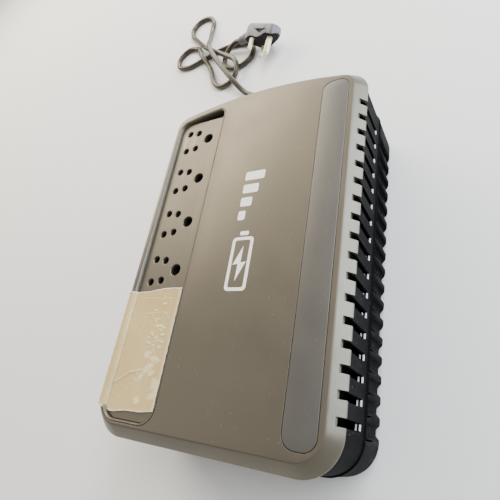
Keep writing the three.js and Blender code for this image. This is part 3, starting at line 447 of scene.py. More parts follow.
ALUMINIUM = metal("aluminium", (0.72, 0.73, 0.75), (0.55, 0.55, 0.56))
COPPER = metal("copper_winding", (0.75, 0.38, 0.18), (0.45, 0.2, 0.1), stretch=(1, 40, 1))
LAMINATE = metal("core_steel", (0.32, 0.32, 0.33), (0.16, 0.15, 0.15), stretch=(1, 60, 1))
BOARD = moulded("circuit_board", (0.03, 0.13, 0.06), (0.02, 0.08, 0.04), rough=(0.3, 0.5), grain=500)
BATTERY = moulded("battery_case", (0.05, 0.05, 0.055), (0.035, 0.035, 0.04), rough=(0.45, 0.6), dust=0.2)
LEAD_RED = moulded("lead_red", (0.35, 0.02, 0.02), (0.25, 0.015, 0.015))
FILM = film_material()

# ---- mains cord and plug ------------------------------------------------------------------


def smooth_route(points):
    """Centripetal Catmull-Rom line through the points, the curve that the model's cord follows."""
    per_span = 16
    line = [Vector(p) for p in points]
    line = [2 * line[0] - line[1], *line, 2 * line[-1] - line[-2]]
    out = []
    for a, b, c, d in zip(line, line[1:], line[2:], line[3:]):
        t0 = max((b - a).length ** 0.5, 1e-4)
        t1 = max((c - b).length ** 0.5, 1e-4)
        t2 = max((d - c).length ** 0.5, 1e-4)
        start = ((b - a) / t0 - (c - a) / (t0 + t1) + (c - b) / t1) * t1
        end = ((c - b) / t1 - (d - b) / (t1 + t2) + (d - c) / t2) * t1
        for k in range(per_span):
            t = k / per_span
            out.append(b + start * t + (3 * (c - b) - 2 * start - end) * t * t
                       + (2 * (b - c) + start + end) * t ** 3)
    out.append(line[-2])
    return out


def make_cord():
    line = smooth_route(CORD_ROUTE)
    curve = bpy.data.curves.new("cord", "CURVE")
    curve.dimensions = "3D"
    curve.bevel_depth = CORD_RADIUS * MM
    curve.bevel_resolution = 5
    curve.use_fill_caps = True
    spline = curve.splines.new("POLY")
    spline.points.add(len(line) - 1)
    for point, place in zip(spline.points, line):
        point.co = (*(place * MM), 1.0)
    cord = bpy.data.objects.new("cord", curve)
    bpy.context.scene.collection.objects.link(cord)
    length = sum((b - a).length for a, b in zip(line, line[1:])) * MM
    return cord, length


PLUG_PLACE = (Matrix.Translation(Vector(PLUG_CENTRE) * MM)
              @ Euler((math.radians(PLUG_PITCH), math.radians(-PLUG_ROLL), math.radians(PLUG_YAW)), "XYZ")
              .to_matrix().to_4x4())


def lay_plug(obj):
    obj.data.transform(PLUG_PLACE)
    return obj


def plug_ring(y, scale, lip=0.0, slant=0.0):
    """Outline of the plug at y: the hull of its three corner discs, anticlockwise seen from -Y.

    lip brings the upper rim forward, most of all between the pins, and slant makes the side away
    from the heel shallower.
    """
    hull = []
    for i in range(PLUG_STEPS + 1):
        angle = -2 * math.pi * i / PLUG_STEPS
        nx, nz = math.cos(angle), math.sin(angle)
        x, z, radius = max(PLUG_CORNERS, key=lambda c: c[0] * nx + c[1] * nz + c[2])
        hull.append((x + radius * nx, z + radius * nz, nz))
    ring = []
    for (ax, az, an), (bx, bz, bn) in zip(hull, hull[1:]):
        pieces = PLUG_EDGE_STEPS if math.hypot(bx - ax, bz - az) > PLUG_LONG_EDGE else 1
        for k in range(pieces):
            t = k / pieces
            px, pz, nz = (ax + (bx - ax) * t) * scale, (az + (bz - az) * t) * scale, an + (bn - an) * t
            over_pins = 0.5 + 0.5 * math.cos(math.pi * (px + PIN_OFFSET) / PIN_OFFSET)
            forward = lip * max(0.0, nz) * (1 - PLUG_LIP_DIP * over_pins)
            ring.append((px, y - forward - slant * (px - PLUG_HEEL), pz))
    return ring


def make_boot():
    """The plug's ribbed boot along X, out of the heel and wider towards it."""
    profile = [(4.3, -46), (4.6, -45.6)]
    for i in range(BOOT_RIBS):
        x = -44.6 + i * BOOT_PITCH
        radius = 4.7 + i * 0.28
        profile += [(radius + 0.25, x), (radius + 0.3, x + 1.7), (radius - 0.5, x + 1.9),
                    (radius - 0.45, x + 2.9)]
    profile += [(6.4, -25.5), (6.5, -22)]
    rings = []
    for radius, x in profile:
        rings.append([(x, py, pz) for py, pz in arc(BOOT_Y, BOOT_Z, radius, 0, 2 * math.pi, 32)[:-1]])
    return skin("boot", rings)


def make_plug_body():
    """The plug's shell: recessed face, wavy lip, slanted back, boot and a three-cornered dent on top."""
    front = PLUG_FACE + GAP
    levels = [(front, 0.985, 5.4), (front + 0.4, 1.0, 5.0), (10, 1.0, 0.6), (15.5, 0.985, 0),
              (17.6, 0.96, 0), (19.0, 0.92, 0), (19.7, 0.87, 0), (PLUG_DEPTH, 0.80, 0)]
    body = skin("plug_body_shell", [
        plug_ring(y, scale, lip, PLUG_SLANT * (y - front) / (PLUG_DEPTH - front))
        for y, scale, lip in levels])
    cut(body, skin("recess", [plug_ring(-6, 0.965), plug_ring(front, 0.965)]))
    combine(body, make_boot(), "UNION")
    dent = skin("dent", [
        [(-6.5, 10.1, 9.2), (1.5, 2.9, 10.4), (9.8, 7.3, 5.2)],
        [(-7.2, 10.8, 30.0), (1.5, 2.0, 30.0), (10.6, 7.8, 30.0)],
    ])
    cut(body, dent)
    return lay_plug(soften(body, 0.3))


def make_plug_face():
    face = skin("plug_face_shell", [plug_ring(y, s) for y, s in
                                    ((0, 0.84), (0.25, 0.9), (0.9, 0.93), (3.0, 0.955), (8.0, 0.93))])
    for x, z, radius, _ in PLUG_PINS.values():
        cut(face, lathe_y("seat", x, z, [(radius + GAP, -1), (radius + GAP, 2)]))
    return lay_plug(soften(face, 0.25))


def make_plug_pin(name):
    x, z, radius, length = PLUG_PINS[name]
    tip = -length
    return lay_plug(soften(lathe_y(f"plug_pin_{name}_rod", x, z, [
        (radius * 0.45, tip), (radius * 0.72, tip + 0.25), (radius * 0.9, tip + 0.8), (radius, tip + 1.7),
        (radius, -1.4), (radius - 0.25, -1.2), (radius - 0.25, -0.6), (radius, -0.4), (radius, 1.6)]), 0.1))


def make_relief():
    profile = [(9, 133.5), (9, 135.9), (6.4, 136.0), (6.4, 139.9), (9, 140.0), (9.1, 141.6), (8.6, 142.9),
               (7.0, 143.3)]
    for i in range(RELIEF_RIBS):
        y = 144.2 + i * RELIEF_PITCH
        radius = 6.3 - i * 0.2
        profile += [(radius, y), (radius - 0.05, y + 2.2), (radius - 1.0, y + 2.5), (radius - 1.0, y + 3.4)]
    profile += [(4.5, RELIEF_TIP_Y - 0.6), (4.1, RELIEF_TIP_Y)]
    return soften(lathe_y("cord_relief_sleeve", CORD_EXIT_X, CORD_EXIT_Z, profile), 0.2)


def build_cord_and_plug():
    cord, length = make_cord()
    dress(cord, CORD, replaces=["mains_cord"])
    body = dress(make_plug_body(), PLUG_GREY, replaces=["plug_body"])
    face = dress(make_plug_face(), DARK, replaces=["plug_face"])
    pins = [dress(make_plug_pin(name), PIN_METAL, replaces=[f"plug_pin_{name}"]) for name in PLUG_PINS]
    dress(make_relief(), RUBBER, replaces=["cord_relief"])


build_cord_and_plug()

# ---- top cover ----------------------------------------------------------------------------


def side_blocks(name, inner, z0, z1, width):
    """One box per vent row on each side, from inner outwards."""
    boxes = []
    for y in VENT_ROWS:
        for x0, x1 in ((-WIDTH, -inner), (inner, WIDTH)):
            boxes.append(block("slot", x0, x1, y - width / 2, y + width / 2, z0, z1))
    return join(name, boxes)


def rim_groove():
    """A fine groove round the channel's rim, narrower at its foot."""
    groove = loft("groove", [(89.35, channel_outline(-1.75)), (90.5, channel_outline(-2.1))])
    return cut(groove, loft("island", [(89.0, channel_outline(-1.45)), (91.0, channel_outline(-1.1))]))


def make_top_cover():
    """The cover: flared skirt with notches, sunk channel with a grooved rim, and the strip's seat."""
    skirt = [(SKIRT_BOTTOM, 0.3), (80.12, 0.1), (80.35, 0.0), (80.9, 0.0), (81.2, 0.07), (81.5, 0.28),
             (89.4, 7.05), (89.62, 7.26), (89.82, 7.52), (89.94, 7.82), (HEIGHT, 8.2)]
    cover = loft("top_cover_shell", [(z, body_outline(inset)) for z, inset in skirt])
    inner = loft("inner", [(SKIRT_BOTTOM - 1, body_outline(COVER_WALL)),
                           (SKIRT_BOTTOM + 0.6, body_outline(COVER_WALL)),
                           (COVER_INNER_TOP, body_outline(SKIRT_OUT + 0.9))])
    cut(cover, inner)
    combine(cover, prism("collar", channel_outline(-2), PLATE_BOTTOM, COVER_INNER_TOP + 0.5), "UNION")
    channel = loft("channel", [(PLATE_BOTTOM - 1, channel_outline(0)), (88.9, channel_outline(0)),
                               (89.05, channel_outline(-0.08)), (89.75, channel_outline(-0.62)),
                               (90.5, channel_outline(-1.0))])
    x0, x1, y0, y1 = STRIP
    seat = prism("seat", rounded_outline(x0 - GAP, x1 + GAP, y0 - GAP, y1 + GAP, STRIP_RADIUS),
                 HEIGHT - STRIP_DEPTH, HEIGHT + 1)
    slots = side_blocks("slots", WIDTH / 2 - COVER_VENT_DEPTH, SKIRT_BOTTOM - 1, VENT_TOP, VENT_WIDTH)
    cut(cover, channel, seat, slots, rim_groove())
    return soften(cover, 0.18)


def make_strip():
    x0, x1, y0, y1 = STRIP
    levels = [(HEIGHT - STRIP_DEPTH + GAP, 0), (HEIGHT - 0.35, 0), (HEIGHT - 0.15, 0.06),
              (HEIGHT - 0.04, 0.2), (HEIGHT, 0.45)]
    return loft("side_strip_inlay", [
        (z, rounded_outline(x0 + i, x1 - i, y0 + i, y1 - i, STRIP_RADIUS - GAP - i)) for z, i in levels])


def countersunk(x, y, radius, steps):
    """A cutter for a round hole through the plate, with a chamfered rim."""
    wide = radius + 1.5 * RIM_CHAMFER
    return lathe_z("hole", x, y, [(radius, PLATE_BOTTOM - 1), (radius, PLATE_TOP - RIM_CHAMFER),
                                  (wide, PLATE_TOP + RIM_CHAMFER / 2), (wide, PLATE_TOP + 1)], steps)


def outlet_holes():
    holes = []
    for y in OUTLET_ROWS:
        for x, half in ((OUTER_PAIR_X, OUTER_PAIR_HALF), (INNER_PAIR_X, INNER_PAIR_HALF)):
            holes += [countersunk(x, y + side * half, PIN_HOLE, 36) for side in (-1, 1)]
        holes.append(countersunk(EARTH_X, y, EARTH_HOLE, 44))
    return join("holes", holes)


def channel_slab(name, y0, y1):
    """A plate that fits the channel with a gap, from y0 to y1."""
    slab = prism(name, channel_outline(GAP), PLATE_BOTTOM, PLATE_TOP)
    reach = block("reach", CHANNEL_LEFT - 5, CHANNEL_RIGHT + 5, y0, y1, PLATE_BOTTOM - 4, PLATE_TOP + 3)
    return combine(slab, reach, "INTERSECT")


def round_hole(y, radius, steps):
    """A cutter for a straight hole through the control panel, with a gap round its piece."""
    wide = radius + GAP
    return lathe_z("hole", BUTTON_X, y, [(wide, PLATE_BOTTOM - 4), (wide, PLATE_TOP + 3)], steps)


def make_outlet_plate():
    plate = channel_slab("outlet_plate_panel", PANEL_LINE + GAP / 2, PLATE_FAR)
    cut(plate, outlet_holes())
    return soften(plate, 0.16)


def make_control_panel():
    panel = channel_slab("control_panel_plate", CHANNEL_NEAR - 5, PANEL_LINE - GAP / 2)
    cut(panel, round_hole(BUTTON_Y, BUTTON_RADIUS, 64), round_hole(LAMP_Y, LAMP_RADIUS, 32))
    return soften(panel, 0.3)


def make_power_button():
    """A cap with a flange under the panel and a stem down to its switch."""
    top = PLATE_TOP - 0.4
    return soften(lathe_z("power_button_cap", BUTTON_X, BUTTON_Y, [
        (2, 76.2), (2, 82.3), (8.4, 82.4), (8.6, 82.6), (8.6, 83.5), (8.4, 83.6), (7, 83.7), (7, top - 0.5),
        (6.8, top - 0.15), (6.3, top), (5.2, top - 0.1), (3, top - 0.3), (1, top - 0.35)], 64), 0.08)


def make_light_pipe():
    return soften(lathe_z("power_light_lens", BUTTON_X, LAMP_Y, [
        (3, 80.1), (3, 83.5), (2, 83.6), (2, 86.6), (1.8, 86.85), (1.2, 86.98), (0.5, PLATE_TOP)], 32), 0.08)


dress(make_top_cover(), COVER, replaces=["top_cover"])
dress(soften(make_strip(), 0.1), STRIP_PLASTIC, replaces=["side_strip"])
dress(make_outlet_plate(), COVER, replaces=["outlet_plate"])
dress(make_control_panel(), COVER, replaces=["control_panel"])
dress(make_power_button(), PALE, body="power_button", replaces=["power_button"])
dress(make_light_pipe(), PALE, replaces=["power_light_pipe"])

# ---- generic mark on the cover ------------------------------------------------------------

MARK_CENTRE = (12.0, 5.0)
MARK_TOP = HEIGHT + 0.06


def flat_shape(outlines):
    """Thin raised ink. Each outline is in mark axes: u along the case's length, v across it."""
    shapes = []
    for outline in outlines:
        points = [(MARK_CENTRE[0] + v, MARK_CENTRE[1] + u) for u, v in outline]
        area = sum(a[0] * b[1] - b[0] * a[1] for a, b in zip(points, points[1:] + points[:1]))
        shapes.append(prism("ink", points if area > 0 else points[::-1], HEIGHT - 0.02, MARK_TOP))
    return shapes


def frame_shape(u0, u1, v0, v1, line):
    outer = flat_shape([rounded_outline(u0, u1, v0, v1, 3.0)])[0]
    hole = flat_shape([rounded_outline(u0 + line, u1 - line, v0 + line, v1 - line, 1.6)])[0]
    for vertex in hole.data.vertices:
        vertex.co.z += 0.5 * MM if vertex.co.z > HEIGHT * MM else -0.5 * MM
    return combine(outer, hole)


def make_mark():
    """A battery with a bolt in it, its terminal, and a short run of charge bars."""
    half, bar, pitch = 8.5, 7.6, 11.4
    battery = frame_shape(-48, -8, -half, half, 2.4)
    bolt = [(-41, -1.2), (-27, 5.2), (-27.6, 1.0), (-15, 1.2), (-29, -5.2), (-28.4, -1.0)]
    terminal = rounded_outline(-6.6, -3.4, -3.6, 3.6, 1.2)
    bars = [rounded_outline(6 + i * pitch, 6 + bar + i * pitch, -half, -half + 6 + i * 3.6, 1.4)
            for i in range(4)]
    return join("charge_mark", [battery, *flat_shape([bolt, terminal, *bars])])


dress(make_mark(), MARK)

# ---- protective film ----------------------------------------------------------------------

FILM_NEAR, FILM_FAR = -128.6, -38.6
FILM_LENGTH = FILM_FAR - FILM_NEAR
FILM_LINE = [(-87.2, 86.8), (-85.4, 88.7), (-83.7, 90.25), (-82.0, 90.42), (-79.9, 90.4), (-79.0, 89.55),
             (-78.5, 88.7), (-78.2, 87.75), (-77.4, 87.42), (-35.0, 87.42)]
FILM_COLUMNS, FILM_ROWS, FILM_SEED = 110, 180, 7
FILM_THICKNESS, FILM_LIFT_LIMIT, FILM_INBOARD = 0.12, 0.85, 4.2
BUBBLES, PATCHES, OVAL_REACH = 34, 9, 8
# Each crease or streak is its two ends and its height.
CREASES = [
    ((-77, -110), (-64, -102), 0.5), ((-64, -102), (-54, -99.5), 0.45), ((-44, -47.5), (-41, -62), 0.4),
    ((-41, -62), (-36, -72), 0.35), ((-66, -60), (-44, -58), 0.15),
]
STREAKS = [((-76.6, -44), (-76.6, -126), 0.35), ((-74.2, -60), (-75.4, -112), 0.2)]
CREASE_WIDTH, CREASE_WHITE = 0.55, 0.4
SEAM_LEFT, SEAM_WIDTH, SEAM_DEPTH = -73, 0.6, 0.12


def along(line, distance):
    """The point at a distance along a line of straight stretches."""
    for (x0, z0), (x1, z1) in zip(line, line[1:]):
        step = math.hypot(x1 - x0, z1 - z0)
        if distance <= step:
            t = distance / step
            return x0 + (x1 - x0) * t, z0 + (z1 - z0) * t
        distance -= step
    return line[-1]


def segment_distance(x, y, a, b):
    """Distance from (x, y) to the stretch from a to b."""
    dx, dy = b[0] - a[0], b[1] - a[1]
    t = max(0.0, min(1.0, ((x - a[0]) * dx + (y - a[1]) * dy) / (dx * dx + dy * dy)))
    return math.hypot(x - a[0] - t * dx, y - a[1] - t * dy)


def film_bubbles(chance):
    """Flat ovals of trapped air: small ones, patches, and fine dots all over.

    Each is (x, y, half length, half width, turn, height).
    """
    ovals = []
    for _ in range(BUBBLES):
        ovals.append((chance.gauss(-47, 6), chance.gauss(-76, 12), chance.uniform(0.7, 3.0),
                      chance.uniform(0.5, 1.1), chance.gauss(-0.2, 0.5), chance.uniform(0.15, 0.35)))
    for _ in range(PATCHES):
        ovals.append((chance.gauss(-52, 9), chance.gauss(-104, 14), chance.uniform(3.0, 6.5),
                      chance.uniform(1.8, 3.6), chance.gauss(0.1, 0.5), chance.uniform(0.2, 0.35)))
    for _ in range(BUBBLES):
        ovals.append((chance.uniform(-73, -40), chance.uniform(-122, -60), chance.uniform(0.3, 0.9),
                      chance.uniform(0.3, 0.7), 0.0, chance.uniform(0.1, 0.2)))
    return ovals


def oval_depth(x, y, oval):
    """1 well inside the oval, 0 outside it, with a short slope between."""
    cx, cy, half_length, half_width, turn, _ = oval
    dx, dy = x - cx, y - cy
    if abs(dx) > OVAL_REACH or abs(dy) > OVAL_REACH:
        return 0.0
    u = (dx * math.cos(turn) + dy * math.sin(turn)) / half_length
    v = (dy * math.cos(turn) - dx * math.sin(turn)) / half_width
    return max(0.0, min(1.0, 2.2 * (1 - math.hypot(u, v))))


def smooth(start, end, value):
    """0 at start, 1 at end, with an easy curve between."""
    t = min(1.0, max(0.0, (value - start) / (end - start)))
    return t * t * (3 - 2 * t)


def film_place(u, v, across):
    """The sheet's point at u across it and v along it, before anything lifts it."""
    inboard = FILM_INBOARD * smooth(0.62, 0.4, v) * smooth(0.0, 0.05, v)
    x, z = along(FILM_LINE, inboard + u * (across - inboard))
    near = (FILM_NEAR + 5.2 * max(0.0, u - 0.3) + 0.3 * math.sin(14 * u)
            + 4.4 * max(0.0, 1 - u / 0.3) ** 1.3)
    far = FILM_FAR - 5.4 * (1 - u) ** 1.2 + 0.4 * math.sin(11 * u)
    return x, near + (far - near) * v, z


def film_lift(x, y, rim, ovals):
    """How far the sheet stands up at a point, how much air is under it, and how white its crease is."""
    lift, trapped, white = 0.0, 0.0, 0.0
    for oval in ovals:
        depth = oval_depth(x, y, oval)
        lift += oval[5] * depth
        trapped = max(trapped, depth)
    for a, b, height in CREASES + STREAKS:
        ridge = math.exp(-(segment_distance(x, y, a, b) / CREASE_WIDTH) ** 2)
        lift += height * ridge
        white = max(white, CREASE_WHITE * height * ridge)
    if x > SEAM_LEFT:
        lift -= SEAM_DEPTH * math.exp(-((y - PANEL_LINE) / SEAM_WIDTH) ** 2)
    lift += 0.25 * max(0.0, 1 - rim / 1.6) * (1 + math.sin(y * 0.9) * math.sin(x * 0.7))
    return min(lift, FILM_LIFT_LIMIT), trapped, white


def make_film():
    """A sheet over the panel and the channel's left rim, with bubbles and creases lifted off it."""
    across = sum(math.hypot(b[0] - a[0], b[1] - a[1]) for a, b in zip(FILM_LINE, FILM_LINE[1:]))
    ovals = film_bubbles(random.Random(FILM_SEED))
    points, air, edge = [], [], []
    for j in range(FILM_ROWS + 1):
        for i in range(FILM_COLUMNS + 1):
            u, v = i / FILM_COLUMNS, j / FILM_ROWS
            x, y, z = film_place(u, v, across)
            rim = min(u * across, (1 - u) * across, v * FILM_LENGTH, (1 - v) * FILM_LENGTH)
            lift, trapped, white = film_lift(x, y, rim, ovals)
            points.append((x, y, z + lift))
            air.append(min(1.0, 0.8 * trapped + 0.8 * max(0.0, 1 - (1 - u) * across / 3.5)))
            edge.append(min(1.0, 0.9 * max(0.0, 1 - rim / 0.9) + white))
    faces = []
    for j in range(FILM_ROWS):
        for i in range(FILM_COLUMNS):
            a = j * (FILM_COLUMNS + 1) + i
            faces.append((a, a + 1, a + FILM_COLUMNS + 2, a + FILM_COLUMNS + 1))
    film = mesh_object("film_sheet", points, faces)
    for name, amounts in (("air", air), ("edge", edge)):
        values = film.data.attributes.new(name, "FLOAT", "POINT")
        values.data.foreach_set("value", amounts)
    thick = film.modifiers.new("thickness", "SOLIDIFY")
    thick.thickness = FILM_THICKNESS * MM
    thick.offset = 1.0
    film.data.shade_smooth()
    return film, (across * MM, FILM_LENGTH * MM)


film, film_flat = make_film()
dress(film, FILM, replaces=["protective_film"])

# ---- bottom shell -------------------------------------------------------------------------

# Cutters start below the shell's underside and end beyond its far end.
CUT_BELOW, CUT_BEYOND = 1.5, 150
# Where the pale blocks of painted highlight sit at the foot of the vents.
SILL_HALF, SILL_FOOT, INNER_SILL_ROWS = 1.75, 47.2, 3
NEAR_FACE = -LENGTH / 2 + LOWER_INSET


def shell_outer(name):
    """The shell's outside: a rounded foot, straight sides, a fine ridge and a slimmer upper tier."""
    levels = [(SHELL_BOTTOM, 5.4), (2.62, 4.1), (3.0, 3.0), (3.6, 2.2), (4.6, 1.5), (6.0, 1.05),
              (7.5, LOWER_INSET), (39.1, LOWER_INSET), (39.5, 0.62), (39.9, 0.5), (40.3, 0.62), (40.7, 1.2),
              (41.0, UPPER_INSET), (SHELL_TOP, UPPER_INSET)]
    return loft(name, [(z, body_outline(inset)) for z, inset in levels])


def rib_grooves():
    """Grooves with a flat foot and rounded shoulders, one under each vent."""
    steps = 24
    cuts = []
    for y in VENT_ROWS:
        for side in (-1, 1):
            face = side * (WIDTH / 2 - LOWER_INSET)
            outline = [(face + side * 5, y - GROOVE_HALF - 0.01)]
            for i in range(steps + 1):
                dy = -GROOVE_HALF + 2 * GROOVE_HALF * i / steps
                t = max(0.0, (abs(dy) - GROOVE_FLAT) / (GROOVE_HALF - GROOVE_FLAT))
                into = GROOVE_DEPTH * (0.5 + 0.5 * math.cos(math.pi * t))
                outline.append((face - side * into + side * 0.02, y + dy))
            outline.append((face + side * 5, y + GROOVE_HALF + 0.01))
            cuts.append(prism("groove", outline if side < 0 else outline[::-1], 1.0, GROOVE_TOP))
    return join("grooves", cuts)


def door_cutters():
    """The doorway in the underside, the lip's opening in the near end, and the slots for the tongues."""
    left, right, far = DOOR["left"], DOOR["right"], DOOR["far"]
    reach = DOOR["tongue"] + GAP
    return (block("doorway", left, right, -LENGTH, far, CUT_BELOW, FLOOR_TOP + 1),
            block("lip", left, right, -LENGTH, NEAR_FACE + 8, CUT_BELOW, DOOR["lip_top"]),
            block("rails", left - reach, right + reach, -LENGTH, far, *DOOR_RAILS))


def foot_outline(x, y, inset, radius):
    half_width, half_length = FOOT_HALF_WIDTH - inset, FOOT_HALF_LENGTH - inset
    return rounded_outline(x - half_width, x + half_width, y - half_length, y + half_length, radius)


def rear_cutter(name, x, z, radius, y0):
    """A cutter for a round opening in the far end, from y0 outwards."""
    return lathe_y(name, x, z, [(radius, y0), (radius, CUT_BEYOND)])


def make_bottom_shell():
    shell = shell_outer("bottom_shell_tub")
    inner = loft("inner", [(FLOOR_TOP, body_outline(LOWER_INSET + 5)),
                           (RIDGE_Z - 1, body_outline(LOWER_INSET + 4.4)),
                           (RIDGE_Z + 2, body_outline(UPPER_INSET + 2.4)),
                           (SHELL_TOP + 1, body_outline(UPPER_INSET + 2.4))])
    vents = side_blocks("vents", WIDTH / 2 - SHELL_VENT_DEPTH, VENT_BOTTOM, SHELL_TOP + 1, VENT_WIDTH)
    cut(shell, inner, rib_grooves(), vents, *door_cutters())
    wells = [lathe_z("well", x, y, [(SCREW_WELL_RADIUS, CUT_BELOW), (SCREW_WELL_RADIUS, 10)])
             for x, y in SCREW_PLACES]
    seats = [prism("seat", foot_outline(x, y, -GAP, FOOT_SEAT_RADIUS), CUT_BELOW, 3.5)
             for x, y in FOOT_PLACES.values()]
    cut(shell, join("wells", wells + seats))
    cut(shell, rear_cutter("hole", CORD_EXIT_X, CORD_EXIT_Z, RELIEF_HOLE_RADIUS, 132),
        rear_cutter("seat", CORD_EXIT_X, CORD_EXIT_Z, RELIEF_SEAT_RADIUS, 139.9),
        rear_cutter("hole", BREAKER_X, BREAKER_Z, BREAKER_RADIUS, 124),
        rear_cutter("seat", BREAKER_X, BREAKER_Z, BREAKER_SEAT_RADIUS, 140.35))
    return soften(shell, 0.3)


def make_painted_glints():
    """Pale blocks at the foot of each vent, painted highlights that stand for the glints there: one on the
    outer face, and a thin one further in.

    The farthest rows have only the outer one.
    """
    sills = []
    for row, y in enumerate(VENT_ROWS):
        steps = [(88.4, 89.3, 48.8)]
        if row > INNER_SILL_ROWS:
            steps.append((86.3, 86.8, 49.6))
        for side in (-1, 1):
            for x_in, x_out, top in steps:
                xs = sorted((side * x_in, side * x_out))
                sills.append(block("sill", *xs, y - SILL_HALF, y + SILL_HALF, SILL_FOOT, top))
    return join("vent_painted_glints", sills)


def make_battery_door():
    """A panel with tongues at its sides, a lip up the near end with a finger pull, and grip ribs."""
    left, right, far = DOOR["left"] + GAP, DOOR["right"] - GAP, DOOR["far"] - GAP
    bottom, top, tongue = DOOR["bottom"], DOOR["top"], DOOR["tongue"]
    door = block("battery_door_panel", left, right, NEAR_FACE - 1, far, bottom, top)
    combine(door, block("tongues", left - tongue, right + tongue, NEAR_FACE + 12, far, 4.0, top), "UNION")
    combine(door, block("lip", left, right, NEAR_FACE - 1, NEAR_FACE + 2.4, bottom, DOOR["lip_top"] - GAP),
            "UNION")
    cut(door, block("pull", 8, 40, NEAR_FACE - 2, NEAR_FACE + 0.9, 9, 15))
    combine(door, shell_outer("limit"), "INTERSECT")
    rib_near, rib_width, rib_pitch = -100, 1.8, 4
    ribs = [block("rib", 10, 38, rib_near + i * rib_pitch, rib_near + rib_width + i * rib_pitch, 2.2, 3.0)
            for i in range(6)]
    combine(door, join("ribs", ribs), "UNION")
    return soften(door, 0.3)


def make_foot(name, x, y):
    levels = [(0.0, 0.5), (0.15, 0.2), (0.45, 0.0), (3.15, 0.0)]
    return loft(f"{name}_pad", [(z, foot_outline(x, y, inset, FOOT_RADIUS - inset)) for z, inset in levels])


def make_screw(name, x, y):
    """A long screw with its cross-slotted head down."""
    arm, half_slot = 2, 0.35
    screw = lathe_z(f"{name}_head", x, y, [(2.6, 4.0), (3.3, 4.15), (3.4, 4.5), (3.4, 6.4), (1.8, 6.5),
                                           (1.8, 76.5)], 32)
    cut(screw, block("slot", x - arm, x + arm, y - half_slot, y + half_slot, 3.0, 5.2),
        block("slot", x - half_slot, x + half_slot, y - arm, y + arm, 3.0, 5.2))
    return soften(screw, 0.08)


dress(make_bottom_shell(), SHELL, replaces=["bottom_shell"])
# Pale blocks at the foot of each vent: painted highlights standing for glints there.
dress(make_painted_glints(), PAINTED_GLINT)
dress(make_battery_door(), SHELL, body="battery_door", replaces=["battery_door"])
for foot_name, (foot_x, foot_y) in FOOT_PLACES.items():
    dress(soften(make_foot(foot_name, foot_x, foot_y), 0.1), RUBBER, replaces=[foot_name])
for index, (screw_x, screw_y) in enumerate(SCREW_PLACES, start=1):
    dress(make_screw(f"case_screw_{index}", screw_x, screw_y), STEEL, replaces=[f"case_screw_{index}"])

# ---- rear fittings ------------------------------------------------------------------------


def depth_of(node_name):
    """Where the model's piece starts and ends along Y, in millimetres."""
    low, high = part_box(node_name)
    return low[1] / MM, high[1] / MM


def make_breaker_nut():
    y0, y1 = depth_of("breaker_nut")
    nut = lathe_y("breaker_nut_ring", BREAKER_X, BREAKER_Z,
                  [(8.9, y0), (9.4, y0 + 0.3), (9.4, y1 - 0.3), (8.9, y1)], 6)
    cut(nut, lathe_y("bore", BREAKER_X, BREAKER_Z, [(BREAKER_RADIUS, y0 - 1), (BREAKER_RADIUS, y1 + 1)]))
    return soften(nut, 0.15)


def make_breaker_button():
    y0, y1 = depth_of("breaker_button")
    return soften(lathe_y("breaker_button_cap", BREAKER_X, BREAKER_Z, [
        (3.6, y0), (3.6, y1 - 0.8), (3.4, y1 - 0.3), (2.9, y1), (1.0, y1)], 40), 0.08)


dress(make_breaker_nut(), STEEL, replaces=["breaker_nut"])
dress(make_breaker_button(), PALE, body="breaker_button", replaces=["breaker_button"])

# ---- pieces inside, seen through the vents ------------------------------------------------

INSIDE = {
    "outlet_housing": DARK, "live_bus_bar": BRASS, "neutral_bus_bar": BRASS, "earth_bus_bar": BRASS,
    "battery": BATTERY, "battery_terminal_positive": BRASS, "battery_terminal_negative": BRASS,
    "battery_lead_positive": LEAD_RED, "battery_lead_negative": RUBBER, "battery_pad": RUBBER,
    "transformer_core": LAMINATE, "transformer_winding": COPPER, "transformer_strap": STEEL,
    "strap_screw_1": STEEL, "strap_screw_2": STEEL, "main_board": BOARD, "heat_sink": ALUMINIUM,
    "power_transistor_1": DARK, "power_transistor_2": DARK, "filter_capacitor_1": DARK,
    "filter_capacitor_2": DARK, "relay_1": PALE, "relay_2": PALE, "buzzer": DARK,
    "panel_board": BOARD, "power_switch": DARK, "status_lamp": PALE, "breaker_body": DARK,
    **{f"outlet_contact_block_{i}": DARK for i in range(1, 5)},
}
for node_name, node_material in INSIDE.items():
    node = NODES[node_name]
    node.data.materials.clear()
    node.data.materials.append(node_material)

# ---- floor and lights ---------------------------------------------------------------------

FLOOR_HALF, FLOOR_Z = 4000, -0.05
WORLD_COLOUR, WORLD_STRENGTH = (1.0, 0.985, 0.955, 1.0), 0.45
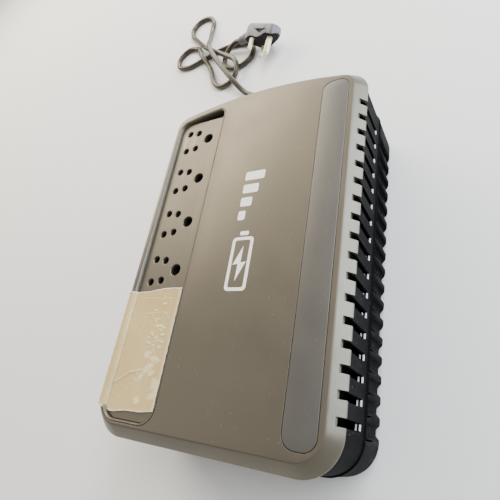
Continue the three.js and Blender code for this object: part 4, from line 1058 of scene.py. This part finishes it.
# Each light is its name, its place and target in metres, its size, its watts and its colour.
LIGHTS = [
    ("window", (-0.87, 0.95, 0.74), (-0.05, 0.08, 0.09), (1.1, 0.62), 21, (1.0, 0.90, 0.71)),
    ("side", (0.97, 0.36, 0.235), (0.09, 0.0, 0.085), (1.0, 0.28), 15, (0.72, 0.85, 1.0)),
    ("far", (-0.1, 1.35, 0.36), (-0.05, 0.05, 0.087), (0.75, 0.3), 10, (1.0, 0.98, 0.94)),
    ("edge", (0.47, 0.66, 0.78), (0.08, 0.06, 0.09), (0.5, 0.2), 6, (0.92, 0.95, 1.0)),
    ("left", (-0.92, -0.2, 0.81), (-0.05, -0.1, 0.09), (0.7, 0.7), 1.4, (1.0, 0.91, 0.75)),
    ("top", (0.7, 0.5, 1.5), (0.0, 0.0, 0.0), (1.1, 1.1), 17, (1.0, 0.99, 0.97)),
]


def make_floor():
    corners = [(-FLOOR_HALF, -FLOOR_HALF), (FLOOR_HALF, -FLOOR_HALF), (FLOOR_HALF, FLOOR_HALF),
               (-FLOOR_HALF, FLOOR_HALF)]
    floor = mesh_object("floor", [(x, y, FLOOR_Z) for x, y in corners], [(0, 1, 2, 3)])
    made = Nodes("floor_paint")
    made.colour(made.mix(made.noise(3, 2), (0.93, 0.93, 0.92), (0.95, 0.95, 0.94)))
    made.shader.inputs["Roughness"].default_value = 0.9
    made.shader.inputs["Specular IOR Level"].default_value = 0.1
    floor.data.materials.append(made.material)


def panel_light(name, place, target, size, power, colour):
    data = bpy.data.lights.new(name, "AREA")
    data.shape = "RECTANGLE"
    data.size, data.size_y = size
    data.energy = power
    data.color = colour
    lamp = bpy.data.objects.new(name, data)
    lamp.location = place
    direction = Vector(target) - Vector(place)
    lamp.rotation_mode = "QUATERNION"
    lamp.rotation_quaternion = direction.to_track_quat("-Z", "Y")
    bpy.context.scene.collection.objects.link(lamp)


def make_lights():
    """A warm window past the far left corner, a cool strip low on the right, and softer panels."""
    for light in LIGHTS:
        panel_light(*light)
    world = bpy.data.worlds.new("studio")
    world.use_nodes = True
    background = world.node_tree.nodes["Background"]
    background.inputs["Color"].default_value = WORLD_COLOUR
    background.inputs["Strength"].default_value = WORLD_STRENGTH
    bpy.context.scene.world = world


make_floor()
make_lights()
